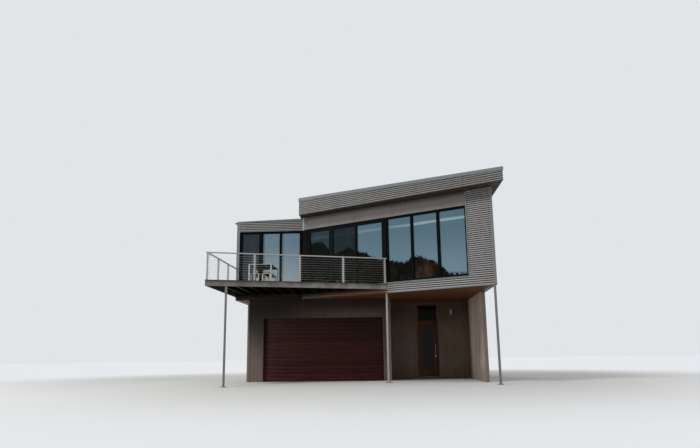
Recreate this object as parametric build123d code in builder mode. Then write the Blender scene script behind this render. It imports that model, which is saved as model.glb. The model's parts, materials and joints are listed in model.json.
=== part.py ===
# Two-storey house on a coastal block: garage and recessed entry below, an upper
# storey with a wing turned towards the view, a raised timber deck and two low
# pitched roofs behind metal fascias. Millimetres, +Z up, the front faces -Y.
from build123d import *
import math
import os

os.makedirs("parts", exist_ok=True)

# Heights, each from the level below it
slab_top = 100               # above the lowest ground
soffit_level = 3360          # underside of the upper storey, above the lowest ground
upper_floor_depth = 360
window_step = 40             # from the deck to the bottom of the upper windows
upper_window_height = 2570
head_band_height = 530       # from the upper windows to the high roof
high_fascia_height = 725     # at the high roof's left end
left_band_left = 420         # from the upper windows to the low roof's top, at the left wall
left_band_right = 500        # and where the wing starts

# Ground floor, in a grid that starts at the garage doorway's left corner
garage_door_width = 5000
garage_door_height = 2575
garage_left_pier = 660
garage_right_pier = 300
porch_depth = 2000
fin_thickness = 90
fin_reach = 2350
house_depth = 8000
wall = 150
garage_door_thickness = 45
garage_door_setback = 70
entry_width = 920
entry_from_porch_corner = 1200
entry_lintel_height = 140
entry_frame_bar = 60
entry_transom_level = 2440
door_gap = 8
leaf_thickness = 45
leaf_stile = 120
leaf_bottom_rail = 240
leaf_floor_gap = 10
hinge_radius = 8
hinge_height = 100
hinge_end_gap = 210          # from the leaf's ends to the outer hinges
hinge_plate = 3
hinge_plate_width = 40
hinge_gap = 0.3              # between the knuckle and the frame
handle_level = 1050
handle_length = 400
handle_diameter = 24
handle_stem_diameter = 14
handle_reach = 60

# Upper storey
left_overhang = 540
left_block_width = 2845      # left wall to the start of the wing
right_overhang = 110         # of the wing past the fin wall's outer face
wing_turn = 31               # degrees, towards the front
wing_end_width = 1009        # of the clad wall between the last window and the wing's tip
lining_thickness = 20
corner_pier = 90
corner_post_right = 260      # of the dark corner post, along the wing
mid_post_width = 160
frame_bar = 60
frame_depth = 100
frame_setback = 25
glass_thickness = 24

# Panes of the front, from left to right: the bar before each one, and its width
left_pane_bars = (114, 140, 71)
left_pane_widths = (760, 742, 800)
left_end_bar = 78
left_head_bar = 90
door_pane_bars = (115, 198, 98)
door_pane_widths = (1005, 1092, 1180)
door_head_bar = 130
window_pane_bars = (60, 100, 100)
window_pane_widths = (1010, 1010, 1040)
window_head_bar = 65

# Side and back windows
window_width = 1200
window_height = 1300
window_pitch = 2600
window_sill_height = 900     # above the floor
window_bar = 50

# High roof
eave_front = 600
eave_right = 300
eave_back = 300
eave_left = 95
high_roof_fall = 1.8         # degrees, down towards the right
fascia_thickness = 40
cap_height = 115
cap_proud = 12
roof_sheet_thickness = 60
roof_sheet_drop = 120        # below the fascia's top
ceiling_sheet = 20

# Low roof
low_roof_thickness = 110
edge_beam_width = 150
edge_beam_drop = 190         # below the low roof's underside
gutter_width = 120
gutter_height = 110
gutter_wall = 6
gutter_drop = 120            # from the low roof's top to the gutter's floor

# Deck
deck_left_depth = 4550
deck_past_wall = 30          # of the deck's side, past the left wall
deck_end_on_wing = 4180      # along the wing front
board_thickness = 30
board_overhang = 12
deck_fascia_depth = 190
deck_fascia_thickness = 45
joist_width = 45
joist_depth = 140
joist_spacing = 450
post_size = 75
left_post_from_corner = 750
wing_post_from_end = 70      # of the deck, along the wing
corner_post_inset = 10

# Balustrade
rail_height = 1000
rail_thickness = 40
rail_width = 65
baluster = 60
baluster_inset = 8
front_bays = 4
side_bays = 3
baluster_corner_inset = 35
baluster_wall_gap = 5
cable_diameter = 5
cable_count = 10

# Furniture on the deck
table_left = -40
table_front = -2950
table_width = 890
table_length = 1500
table_height = 750
table_bar = 50
table_top_thickness = 30
bench_height = 450
bench_width = 320
bench_length = 1300
bench_gap = 15               # between the benches and the table's legs
bench_bar = 40
bench_top_thickness = 45

# Levels
deck_level = soffit_level + upper_floor_depth
sill_level = deck_level + window_step
head_level = sill_level + upper_window_height
high_roof_level = head_level + head_band_height
high_fascia_left = high_roof_level + high_fascia_height
left_fascia_left = head_level + left_band_left
left_fascia_right = head_level + left_band_right
gutter_floor_level = left_fascia_left - gutter_drop
entry_head = soffit_level - entry_lintel_height

# Plan geometry
house_left = -garage_left_pier
garage_right = garage_door_width + garage_right_pier
upper_left = house_left - left_overhang
wing_start = upper_left + left_block_width


def pane_row(start, bars, widths):
    """Start and end of each pane in a frame that starts at a distance along its face."""
    panes = []
    for bar, width in zip(bars, widths):
        panes.append((start + bar, start + bar + width))
        start += bar + width
    return panes


left_panes = pane_row(corner_pier, left_pane_bars, left_pane_widths)
left_window_end = left_panes[-1][1] + left_end_bar
door_panes = pane_row(corner_post_right, door_pane_bars, door_pane_widths)
wing_doors_end = door_panes[-1][1] + frame_bar
wing_windows_start = wing_doors_end + mid_post_width
window_panes = pane_row(wing_windows_start, window_pane_bars, window_pane_widths)
wing_windows_end = window_panes[-1][1] + frame_bar
wing_length = wing_windows_end + wing_end_width
upper_right = wing_start + wing_length * math.cos(math.radians(wing_turn))
house_right = upper_right - right_overhang
fin_left = house_right - fin_thickness


def edge(x, y, direction):
    """A plan line through x, y; its outer side is to the right of its direction."""
    return (x, y, direction)


def moved_out(line, distance):
    """The same line, moved to its outer side."""
    angle = math.radians(line[2])
    return (line[0] + distance * math.sin(angle), line[1] - distance * math.cos(angle), line[2])


def crossing(first, second):
    """The point where two plan lines cross."""
    ax, ay, a = first
    bx, by, b = second
    ux, uy = math.cos(math.radians(a)), math.sin(math.radians(a))
    vx, vy = math.cos(math.radians(b)), math.sin(math.radians(b))
    reach = ((bx - ax) * vy - (by - ay) * vx) / (ux * vy - uy * vx)
    return (ax + reach * ux, ay + reach * uy)


def loop(*lines):
    """Corner points of the shape that the lines enclose, taken in order."""
    return [crossing(lines[i - 1], lines[i]) for i in range(len(lines))]


def along(line, distance, across=0):
    """A point on the line, a distance from its start and moved to its outer side."""
    x, y, direction = moved_out(line, across)
    angle = math.radians(direction)
    return (x + distance * math.cos(angle), y + distance * math.sin(angle))


def cut_across(line, distance):
    """A line square to the given one, a distance from its start."""
    x, y = along(line, distance)
    return (x, y, line[2] + 90)


front_edge = edge(upper_left, 0, 0)
wing_edge = edge(wing_start, 0, -wing_turn)
right_edge = edge(upper_right, 0, 90)
back_edge = edge(0, house_depth, 180)
left_edge = edge(upper_left, 0, -90)
wing_line = edge(wing_start, 0, 90)
upper_edges = (left_edge, front_edge, wing_edge, right_edge, back_edge)

deck_corner = (upper_left - deck_past_wall, -deck_left_depth)
deck_end = along(wing_edge, deck_end_on_wing)
deck_rise = deck_end[1] - deck_corner[1]
deck_run = deck_end[0] - deck_corner[0]
deck_edge = edge(*deck_corner, math.degrees(math.atan2(deck_rise, deck_run)))
deck_length = math.hypot(deck_run, deck_rise)
deck_side = edge(*deck_corner, -90)

roof_left = moved_out(edge(wing_start, 0, -90), eave_left)
roof_edges = (roof_left, moved_out(wing_edge, eave_front), moved_out(right_edge, eave_right),
              moved_out(back_edge, eave_back))

# The origin lies under the middle of everything, at the lowest ground
roof_outline = loop(*[moved_out(line, cap_proud) for line in roof_edges])
x_low = upper_left - gutter_width
x_high = max(x for x, y in roof_outline)
y_low = min(y for x, y in roof_outline)
y_high = max(y for x, y in roof_outline)
middle = ((x_low + x_high) / 2, (y_low + y_high) / 2)


def level(height):
    """A plan at a height, in the grid of the garage doorway."""
    return Plane((-middle[0], -middle[1], height))


def elevation(line):
    """An upright plane on a plan line: x along it, y up, facing its outer side."""
    angle = math.radians(line[2])
    return Plane(origin=(line[0] - middle[0], line[1] - middle[1], 0),
                 x_dir=(math.cos(angle), math.sin(angle), 0),
                 z_dir=(math.sin(angle), -math.cos(angle), 0))


def block(x0, x1, y0, y1):
    """Add a rectangle between two corners to the sketch."""
    with Locations(((x0 + x1) / 2, (y0 + y1) / 2)):
        Rectangle(x1 - x0, y1 - y0)


def opening(x0, x1, y0, y1):
    """Cut a rectangle between two corners from the sketch."""
    with Locations(((x0 + x1) / 2, (y0 + y1) / 2)):
        Rectangle(x1 - x0, y1 - y0, mode=Mode.SUBTRACT)


def save(piece, name):
    """Label the piece and write it under the same name."""
    piece.part.label = name
    export_step(piece.part, f"parts/{name}.step")


# Ground floor slab, inside the walls, with a tongue under the entry door
entry_left = garage_right + entry_from_porch_corner
entry_right = entry_left + entry_width
hall_front = porch_depth + wall
slab_back = house_depth - wall

with BuildPart() as ground_slab:
    with BuildSketch(level(0)):
        block(house_left + wall, garage_right - wall, wall, slab_back)
        block(garage_right - wall, house_right - wall, hall_front, slab_back)
        block(entry_left, entry_right, porch_depth, hall_front)
    extrude(amount=slab_top)
save(ground_slab, "ground_slab")

# Ground floor walls, split beside and over the doorways
with BuildPart() as front_wall_left_pier:
    with BuildSketch(level(0)):
        block(house_left, 0, 0, wall)
    extrude(amount=soffit_level)
save(front_wall_left_pier, "front_wall_left_pier")

with BuildPart() as front_wall_over_garage:
    with BuildSketch(level(garage_door_height)):
        block(0, garage_door_width, 0, wall)
    extrude(amount=soffit_level - garage_door_height)
save(front_wall_over_garage, "front_wall_over_garage")

with BuildPart() as front_wall_right_pier:
    with BuildSketch(level(0)):
        block(garage_door_width, garage_right, 0, wall)
    extrude(amount=soffit_level)
save(front_wall_right_pier, "front_wall_right_pier")

with BuildPart() as porch_side_wall:
    with BuildSketch(level(0)):
        block(garage_right - wall, garage_right, wall, hall_front)
    extrude(amount=soffit_level)
save(porch_side_wall, "porch_side_wall")

with BuildPart() as entry_wall_left:
    with BuildSketch(level(0)):
        block(garage_right, entry_left, porch_depth, hall_front)
    extrude(amount=soffit_level)
save(entry_wall_left, "entry_wall_left")

with BuildPart() as entry_wall_over_door:
    with BuildSketch(level(entry_head)):
        block(entry_left, entry_right, porch_depth, hall_front)
    extrude(amount=soffit_level - entry_head)
save(entry_wall_over_door, "entry_wall_over_door")

with BuildPart() as entry_wall_right:
    with BuildSketch(level(0)):
        block(entry_right, fin_left, porch_depth, hall_front)
    extrude(amount=soffit_level)
save(entry_wall_right, "entry_wall_right")

with BuildPart() as fin_wall:
    with BuildSketch(level(0)):
        block(fin_left, house_right, -fin_reach, hall_front)
    extrude(amount=soffit_level)
save(fin_wall, "fin_wall")

# Side and back walls: each window is a distance along the wall's own line
lower_right_line = edge(house_right, 0, 90)
lower_left_line = edge(house_left, 0, -90)
wing_tip = crossing(wing_edge, right_edge)
lower_window_sill = slab_top + window_sill_height
upper_window_sill = deck_level + window_sill_height


def window_row(start, end, count):
    """Centres of the windows that stand in a row about the middle of a wall."""
    first = (start + end - (count - 1) * window_pitch) / 2
    return [first + i * window_pitch for i in range(count)]


lower_right_windows = window_row(hall_front, house_depth, 2)
lower_left_windows = window_row(-house_depth, 0, 2)
lower_back_windows = window_row(-house_right, -house_left, 3)
upper_right_windows = window_row(wing_tip[1], house_depth, 4)
upper_left_windows = window_row(-house_depth, 0, 2)
upper_back_windows = window_row(-upper_right, -upper_left, 4)

with BuildPart() as right_wall_lower:
    with BuildSketch(elevation(lower_right_line)):
        block(hall_front, house_depth, 0, soffit_level)
        for centre in lower_right_windows:
            opening(centre - window_width / 2, centre + window_width / 2,
                    lower_window_sill, lower_window_sill + window_height)
    extrude(amount=-wall)
save(right_wall_lower, "right_wall_lower")

with BuildPart() as left_wall_lower:
    with BuildSketch(elevation(lower_left_line)):
        block(-house_depth, -wall, 0, soffit_level)
        for centre in lower_left_windows:
            opening(centre - window_width / 2, centre + window_width / 2,
                    lower_window_sill, lower_window_sill + window_height)
    extrude(amount=-wall)
save(left_wall_lower, "left_wall_lower")

with BuildPart() as back_wall_lower:
    with BuildSketch(elevation(back_edge)):
        block(-(house_right - wall), -(house_left + wall), 0, soffit_level)
        for centre in lower_back_windows:
            opening(centre - window_width / 2, centre + window_width / 2,
                    lower_window_sill, lower_window_sill + window_height)
    extrude(amount=-wall)
save(back_wall_lower, "back_wall_lower")

# Garage door: one closed curtain of sections behind the opening
with BuildPart() as garage_door:
    with BuildSketch(level(0)):
        block(0, garage_door_width, garage_door_setback, garage_door_setback + garage_door_thickness)
    extrude(amount=garage_door_height)
save(garage_door, "garage_door")

# Entry door in its timber frame, with a fixed light above
with BuildPart() as entry_frame:
    with BuildSketch(elevation(edge(0, hall_front, 180))):
        block(-entry_right, -entry_left, slab_top, entry_head)
        opening(-entry_right + entry_frame_bar, -entry_left - entry_frame_bar,
                slab_top, entry_transom_level)
        opening(-entry_right + entry_frame_bar, -entry_left - entry_frame_bar,
                entry_transom_level + entry_frame_bar, entry_head - entry_frame_bar)
    extrude(amount=-wall)
save(entry_frame, "entry_frame")

leaf_left = entry_left + entry_frame_bar + door_gap
leaf_right = entry_right - entry_frame_bar - door_gap
leaf_bottom = slab_top + leaf_floor_gap
leaf_top = entry_transom_level - door_gap
leaf_back = edge(0, hall_front, 180)
leaf_middle = moved_out(leaf_back, -(leaf_thickness - glass_thickness) / 2)
with BuildPart() as entry_leaf:
    with BuildSketch(elevation(leaf_back)):
        block(-leaf_right, -leaf_left, leaf_bottom, leaf_top)
        opening(-leaf_right + leaf_stile, -leaf_left - leaf_stile,
                leaf_bottom + leaf_bottom_rail, leaf_top - leaf_stile)
    extrude(amount=-leaf_thickness)
save(entry_leaf, "entry_leaf")

with BuildPart() as entry_leaf_glass:
    with BuildSketch(elevation(leaf_middle)):
        block(-leaf_right + leaf_stile, -leaf_left - leaf_stile,
              leaf_bottom + leaf_bottom_rail, leaf_top - leaf_stile)
    extrude(amount=-glass_thickness)
save(entry_leaf_glass, "entry_leaf_glass")

handle_x = leaf_right - leaf_stile / 2
handle_face = moved_out(leaf_back, -leaf_thickness)
with BuildPart() as entry_handle:
    with BuildSketch(elevation(handle_face)):
        with Locations((-handle_x, handle_level), (-handle_x, handle_level + handle_length)):
            Circle(handle_stem_diameter / 2)
    extrude(amount=-handle_reach)
    with BuildSketch(level(handle_level - handle_diameter)):
        with Locations((handle_x, hall_front - leaf_thickness - handle_reach)):
            Circle(handle_diameter / 2)
    extrude(amount=handle_length + 2 * handle_diameter)
save(entry_handle, "entry_handle")

# Three hinges on the leaf's back: the knuckles turn against the frame's back face
hinge_x = leaf_left - door_gap
hinge_y = hall_front + hinge_gap + hinge_radius
hinge_levels = [leaf_bottom + hinge_end_gap, (leaf_bottom + leaf_top - hinge_height) / 2,
                leaf_top - hinge_end_gap - hinge_height]
with BuildPart() as entry_hinges:
    for height in hinge_levels:
        with BuildSketch(level(height)):
            with Locations((hinge_x, hinge_y)):
                Circle(hinge_radius)
            block(leaf_left, leaf_left + hinge_plate_width, hall_front, hall_front + hinge_plate)
            block(hinge_x, leaf_left + hinge_plate, hall_front + hinge_gap, hinge_y)
        extrude(amount=hinge_height)
save(entry_hinges, "entry_hinges")

# Upper storey floor, its lining below and the walls that stand round its rim
with BuildPart() as soffit_lining:
    with BuildSketch(level(soffit_level)):
        Polygon(*loop(*[moved_out(line, -wall) for line in upper_edges]), align=None)
    extrude(amount=lining_thickness)
save(soffit_lining, "soffit_lining")

floor_bottom = soffit_level + lining_thickness
with BuildPart() as upper_floor:
    with BuildSketch(level(floor_bottom)):
        Polygon(*loop(*[moved_out(line, -wall) for line in upper_edges]), align=None)
    extrude(amount=deck_level - floor_bottom)
save(upper_floor, "upper_floor")

wing_inside = moved_out(wing_edge, -wall)
front_inside = moved_out(front_edge, -wall)
right_inside = moved_out(right_edge, -wall)
wing_tip_inside = crossing(wing_inside, right_inside)
wing_heel = (wing_start, 0)
wing_heel_inside = crossing(front_inside, wing_inside)

with BuildPart() as left_front_apron:
    with BuildSketch(level(soffit_level)):
        Polygon((upper_left, 0), wing_heel, wing_heel_inside, (upper_left, wall), align=None)
    extrude(amount=sill_level - soffit_level)
save(left_front_apron, "left_front_apron")

with BuildPart() as wing_apron:
    with BuildSketch(level(soffit_level)):
        Polygon(wing_heel, wing_tip, wing_tip_inside, wing_heel_inside, align=None)
    extrude(amount=sill_level - soffit_level)
save(wing_apron, "wing_apron")

with BuildPart() as wing_end_wall:
    with BuildSketch(level(sill_level)):
        Polygon(along(wing_edge, wing_windows_end), wing_tip, wing_tip_inside,
                along(wing_edge, wing_windows_end, -wall), align=None)
    extrude(amount=high_roof_level - sill_level)
save(wing_end_wall, "wing_end_wall")

with BuildPart() as wing_head_band:
    with BuildSketch(level(head_level)):
        Polygon(wing_heel, along(wing_edge, wing_windows_end),
                along(wing_edge, wing_windows_end, -wall), crossing(wing_line, wing_inside), align=None)
    extrude(amount=high_roof_level - head_level)
save(wing_head_band, "wing_head_band")

# Dark posts: one at the corner where the wing starts, one between its doors and windows
with BuildPart() as wing_posts:
    with BuildSketch(level(sill_level)):
        Polygon((upper_left + left_window_end, 0), wing_heel, along(wing_edge, corner_post_right),
                along(wing_edge, corner_post_right, -wall), wing_heel_inside,
                (upper_left + left_window_end, wall), align=None)
        Polygon(along(wing_edge, wing_doors_end), along(wing_edge, wing_windows_start),
                along(wing_edge, wing_windows_start, -wall), along(wing_edge, wing_doors_end, -wall),
                align=None)
    extrude(amount=head_level - sill_level)
save(wing_posts, "wing_posts")

# Left block's band over its windows: its top follows the low roof
low_roof_slope = (left_fascia_right - left_fascia_left) / left_block_width
with BuildPart() as left_front_band:
    with BuildSketch(elevation(front_edge)):
        Polygon((0, head_level), (left_block_width, head_level), (left_block_width, left_fascia_right),
                (0, left_fascia_left), align=None)
    extrude(amount=-wall)
save(left_front_band, "left_front_band")

with BuildPart() as left_wall_upper:
    with BuildSketch(elevation(left_edge)):
        block(-house_depth, -wall, soffit_level, left_fascia_left - low_roof_thickness)
        for centre in upper_left_windows:
            opening(centre - window_width / 2, centre + window_width / 2,
                    upper_window_sill, upper_window_sill + window_height)
    extrude(amount=-wall)
    with BuildSketch(level(sill_level)):
        block(upper_left, upper_left + corner_pier, 0, wall)
    extrude(amount=head_level - sill_level)
save(left_wall_upper, "left_wall_upper")

with BuildPart() as right_wall_upper:
    with BuildSketch(level(soffit_level)):
        Polygon(wing_tip, (upper_right, house_depth), (upper_right - wall, house_depth),
                wing_tip_inside, align=None)
    extrude(amount=high_roof_level - soffit_level)
    with BuildSketch(elevation(right_edge)):
        for centre in upper_right_windows:
            block(centre - window_width / 2, centre + window_width / 2,
                  upper_window_sill, upper_window_sill + window_height)
    extrude(amount=-wall, mode=Mode.SUBTRACT)
save(right_wall_upper, "right_wall_upper")

back_low_top = left_fascia_left - low_roof_thickness
back_low_end = left_fascia_right - low_roof_thickness
beam_left = wing_start - edge_beam_width
beam_bottom = back_low_end - edge_beam_drop
with BuildPart() as back_wall_upper:
    with BuildSketch(elevation(back_edge)):
        Polygon((-(upper_right - wall), soffit_level), (-(upper_left + wall), soffit_level),
                (-(upper_left + wall), back_low_top + low_roof_slope * wall),
                (-beam_left, back_low_end - low_roof_slope * edge_beam_width),
                (-beam_left, beam_bottom), (-wing_start, beam_bottom),
                (-wing_start, high_roof_level), (-(upper_right - wall), high_roof_level), align=None)
        for centre in upper_back_windows:
            opening(centre - window_width / 2, centre + window_width / 2,
                    upper_window_sill, upper_window_sill + window_height)
    extrude(amount=-wall)
save(back_wall_upper, "back_wall_upper")

# Low roof with the edge beam that also carries the high roof
with BuildPart() as low_roof:
    with BuildSketch(elevation(edge(0, wall, 0))):
        Polygon((upper_left, left_fascia_left - low_roof_thickness),
                (beam_left, back_low_end - low_roof_slope * edge_beam_width),
                (beam_left, beam_bottom), (wing_start, beam_bottom), (wing_start, high_roof_level),
                (beam_left, high_roof_level), (beam_left, left_fascia_right - low_roof_slope * edge_beam_width),
                (upper_left, left_fascia_left), align=None)
    extrude(amount=-(house_depth - wall))
save(low_roof, "low_roof")

with BuildPart() as low_roof_gutter:
    with BuildSketch(elevation(front_edge)):
        block(-gutter_width, 0, gutter_floor_level, gutter_floor_level + gutter_height)
        opening(-gutter_width + gutter_wall, -gutter_wall,
                gutter_floor_level + gutter_wall, gutter_floor_level + gutter_height)
    extrude(amount=-house_depth)
save(low_roof_gutter, "low_roof_gutter")

# High roof: ceiling sheet, clad fascia all round, and the roof sheet behind it
roof_line_left = crossing(roof_edges[0], roof_edges[1])
fall = math.radians(high_roof_fall)


def roof_plane(drop):
    """The roof's falling plane, a drop below the top of the fascia."""
    return Plane(origin=(roof_line_left[0] - middle[0], -middle[1], high_fascia_left - drop),
                 x_dir=(math.cos(fall), 0, -math.sin(fall)), z_dir=(math.sin(fall), 0, math.cos(fall)))


roof_inside = [moved_out(line, -fascia_thickness) for line in roof_edges]
full_height = high_fascia_left - high_roof_level

with BuildPart() as high_roof_soffit:
    with BuildSketch(level(high_roof_level)):
        Polygon(*loop(*roof_inside), align=None)
    extrude(amount=ceiling_sheet)
save(high_roof_soffit, "high_roof_soffit")

with BuildPart() as high_roof_fascia:
    with BuildSketch(level(high_roof_level)):
        Polygon(*loop(*roof_edges), align=None)
        Polygon(*loop(*roof_inside), align=None, mode=Mode.SUBTRACT)
    extrude(amount=full_height)
    split(bisect_by=roof_plane(0), keep=Keep.BOTTOM)
save(high_roof_fascia, "high_roof_fascia")

with BuildPart() as high_roof_sheet:
    with BuildSketch(level(high_roof_level)):
        Polygon(*loop(*roof_inside), align=None)
    extrude(amount=full_height)
    split(bisect_by=roof_plane(roof_sheet_drop), keep=Keep.BOTTOM)
    split(bisect_by=roof_plane(roof_sheet_drop + roof_sheet_thickness), keep=Keep.TOP)
save(high_roof_sheet, "high_roof_sheet")

with BuildPart() as high_roof_cap:
    with BuildSketch(level(high_roof_level)):
        Polygon(*loop(*[moved_out(line, cap_proud) for line in roof_edges]), align=None)
        Polygon(*loop(*roof_edges), align=None, mode=Mode.SUBTRACT)
    extrude(amount=full_height + cap_height)
    split(bisect_by=roof_plane(-cap_proud), keep=Keep.BOTTOM)
    split(bisect_by=roof_plane(cap_height), keep=Keep.TOP)
save(high_roof_cap, "high_roof_cap")

# Window and door frames of the front, with their glass
wing_face = moved_out(wing_edge, -frame_setback)
front_face = moved_out(front_edge, -frame_setback)
glass_setback = frame_setback + (frame_depth - glass_thickness) / 2
wing_glass_face = moved_out(wing_edge, -glass_setback)
front_glass_face = moved_out(front_edge, -glass_setback)
pane_bottom = sill_level + frame_bar
door_top = head_level - door_head_bar
window_top = head_level - window_head_bar
left_top = head_level - left_head_bar

with BuildPart() as wing_door_frame:
    with BuildSketch(elevation(wing_face)):
        block(corner_post_right, wing_doors_end, sill_level, head_level)
        for start, end in door_panes:
            opening(start, end, pane_bottom, door_top)
    extrude(amount=-frame_depth)
save(wing_door_frame, "wing_door_frame")

with BuildPart() as wing_window_frame:
    with BuildSketch(elevation(wing_face)):
        block(wing_windows_start, wing_windows_end, sill_level, head_level)
        for start, end in window_panes:
            opening(start, end, pane_bottom, window_top)
    extrude(amount=-frame_depth)
save(wing_window_frame, "wing_window_frame")

with BuildPart() as wing_glass:
    with BuildSketch(elevation(wing_glass_face)):
        for start, end in door_panes:
            block(start, end, pane_bottom, door_top)
        for start, end in window_panes:
            block(start, end, pane_bottom, window_top)
    extrude(amount=-glass_thickness)
save(wing_glass, "wing_glass")

with BuildPart() as left_window_frame:
    with BuildSketch(elevation(front_face)):
        block(corner_pier, left_window_end, sill_level, head_level)
        for start, end in left_panes:
            opening(start, end, pane_bottom, left_top)
    extrude(amount=-frame_depth)
save(left_window_frame, "left_window_frame")

with BuildPart() as left_window_glass:
    with BuildSketch(elevation(front_glass_face)):
        for start, end in left_panes:
            block(start, end, pane_bottom, left_top)
    extrude(amount=-glass_thickness)
save(left_window_glass, "left_window_glass")

# Frames and glass of the side and back windows
window_rows = [(lower_right_line, lower_right_windows, lower_window_sill),
               (lower_left_line, lower_left_windows, lower_window_sill),
               (back_edge, lower_back_windows, lower_window_sill),
               (right_edge, upper_right_windows, upper_window_sill),
               (left_edge, upper_left_windows, upper_window_sill),
               (back_edge, upper_back_windows, upper_window_sill)]

with BuildPart() as side_window_frames:
    for line, centres, sill in window_rows:
        with BuildSketch(elevation(moved_out(line, -frame_setback))):
            for centre in centres:
                block(centre - window_width / 2, centre + window_width / 2, sill, sill + window_height)
                opening(centre - window_width / 2 + window_bar, centre + window_width / 2 - window_bar,
                        sill + window_bar, sill + window_height - window_bar)
        extrude(amount=-frame_depth)
save(side_window_frames, "side_window_frames")

with BuildPart() as side_window_glass:
    for line, centres, sill in window_rows:
        with BuildSketch(elevation(moved_out(line, -glass_setback))):
            for centre in centres:
                block(centre - window_width / 2 + window_bar, centre + window_width / 2 - window_bar,
                      sill + window_bar, sill + window_height - window_bar)
        extrude(amount=-glass_thickness)
    with BuildSketch(elevation(moved_out(leaf_back, -(wall - glass_thickness) / 2))):
        block(-entry_right + entry_frame_bar, -entry_left - entry_frame_bar,
              entry_transom_level + entry_frame_bar, entry_head - entry_frame_bar)
    extrude(amount=-glass_thickness)
save(side_window_glass, "side_window_glass")

# Deck: boards on joists, with a fascia along the front and the left side
board_bottom = deck_level - board_thickness
joist_bottom = board_bottom - joist_depth
with BuildPart() as deck_boards:
    with BuildSketch(level(board_bottom)):
        Polygon(*loop(moved_out(deck_side, board_overhang), moved_out(deck_edge, board_overhang),
                      wing_edge, front_edge), align=None)
    extrude(amount=board_thickness)
save(deck_boards, "deck_boards")

with BuildPart() as deck_rim:
    with BuildSketch(level(board_bottom - deck_fascia_depth)):
        Polygon(*loop(deck_side, deck_edge, wing_edge, front_edge), align=None)
        Polygon(*loop(moved_out(deck_side, -deck_fascia_thickness),
                      moved_out(deck_edge, -deck_fascia_thickness),
                      moved_out(wing_edge, deck_fascia_thickness),
                      moved_out(front_edge, deck_fascia_thickness)), align=None, mode=Mode.SUBTRACT)
    extrude(amount=deck_fascia_depth)
save(deck_rim, "deck_rim")

joist_count = math.floor(deck_run / joist_spacing)
with BuildPart() as deck_joists:
    with BuildSketch(level(joist_bottom)):
        for i in range(1, joist_count):
            joist_x = upper_left + i * joist_spacing
            block(joist_x - joist_width / 2, joist_x + joist_width / 2, -deck_left_depth, 0)
        Polygon(*loop(moved_out(deck_side, -deck_fascia_thickness),
                      moved_out(deck_edge, -deck_fascia_thickness),
                      moved_out(wing_edge, deck_fascia_thickness),
                      moved_out(front_edge, deck_fascia_thickness)), align=None, mode=Mode.INTERSECT)
    extrude(amount=joist_depth)
save(deck_joists, "deck_joists")

# Steel posts down to the ground
deck_post_top = board_bottom - deck_fascia_depth
post_half = post_size / 2
with BuildPart() as ground_posts:
    with BuildSketch(level(0)):
        with Locations(along(deck_edge, left_post_from_corner, -post_half - corner_post_inset)):
            Rectangle(post_size, post_size, rotation=deck_edge[2])
    extrude(amount=deck_post_top)
    with BuildSketch(level(0)):
        with Locations(along(wing_edge, deck_end_on_wing - wing_post_from_end,
                             -post_half - corner_post_inset)):
            Rectangle(post_size, post_size, rotation=wing_edge[2])
        with Locations((wing_tip[0] - post_half - corner_post_inset,
                        wing_tip[1] + post_half + 2 * corner_post_inset)):
            Rectangle(post_size, post_size)
    extrude(amount=soffit_level)
save(ground_posts, "ground_posts")

# Balustrade: posts on the boards, flat rails and taut cables between them
rail_top = deck_level + rail_height
rail_bottom = rail_top - rail_thickness
first_post = baluster_corner_inset + baluster / 2
heel_angle = math.radians(deck_edge[2] - wing_edge[2])
heel_room = (baluster_inset + baluster) / math.tan(heel_angle)
last_post = deck_length - heel_room - baluster / 2 - baluster_wall_gap
front_pitch = (last_post - first_post) / front_bays
side_pitch = (deck_left_depth - first_post) / side_bays
post_row = moved_out(deck_edge, -baluster_inset - baluster / 2)
side_row = moved_out(deck_side, -baluster_inset - baluster / 2)
with BuildPart() as balustrade_posts:
    with BuildSketch(level(deck_level)):
        for i in range(front_bays + 1):
            with Locations(along(post_row, first_post + i * front_pitch)):
                Rectangle(baluster, baluster, rotation=deck_edge[2])
        for i in range(1, side_bays):
            with Locations(along(side_row, -first_post - i * side_pitch)):
                Rectangle(baluster, baluster)
    extrude(amount=rail_bottom - deck_level)
save(balustrade_posts, "balustrade_posts")

rail_outer = moved_out(deck_edge, -baluster_inset + (rail_width - baluster) / 2)
rail_inner = moved_out(rail_outer, -rail_width)
side_outer = moved_out(deck_side, -baluster_inset + (rail_width - baluster) / 2)
side_inner = moved_out(side_outer, -rail_width)
with BuildPart() as front_rail:
    with BuildSketch(level(rail_bottom)):
        Polygon(*loop(side_outer, rail_outer, wing_edge, rail_inner), align=None)
    extrude(amount=rail_thickness)
save(front_rail, "front_rail")

with BuildPart() as side_rail:
    with BuildSketch(level(rail_bottom)):
        Polygon(*loop(side_outer, rail_inner, side_inner, front_edge), align=None)
    extrude(amount=rail_thickness)
save(side_rail, "side_rail")

cable_pitch = (rail_bottom - deck_level) / (cable_count + 1)
cable_heights = [deck_level + (i + 1) * cable_pitch for i in range(cable_count)]
with BuildPart() as front_cables:
    for i in range(front_bays):
        start = first_post + i * front_pitch + baluster / 2
        with BuildSketch(elevation(cut_across(post_row, start))):
            with Locations(*[(0, height) for height in cable_heights]):
                Circle(cable_diameter / 2)
        extrude(amount=front_pitch - baluster)
save(front_cables, "front_cables")

with BuildPart() as side_cables:
    for i in range(side_bays):
        start = first_post + i * side_pitch + baluster / 2
        length = side_pitch - baluster if i < side_bays - 1 else side_pitch - baluster / 2
        with BuildSketch(elevation(cut_across(side_row, -start))):
            with Locations(*[(0, height) for height in cable_heights]):
                Circle(cable_diameter / 2)
        extrude(amount=-length)
save(side_cables, "side_cables")

# Table on the deck with two benches pushed under it, slatted tops on light metal frames
leg_height = table_height - table_top_thickness


def legs(left, front, width, length, bar):
    """Add the four legs of a table or bench to the sketch."""
    for x in (left, left + width - bar):
        for y in (front, front + length - bar):
            block(x, x + bar, y, y + bar)


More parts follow.
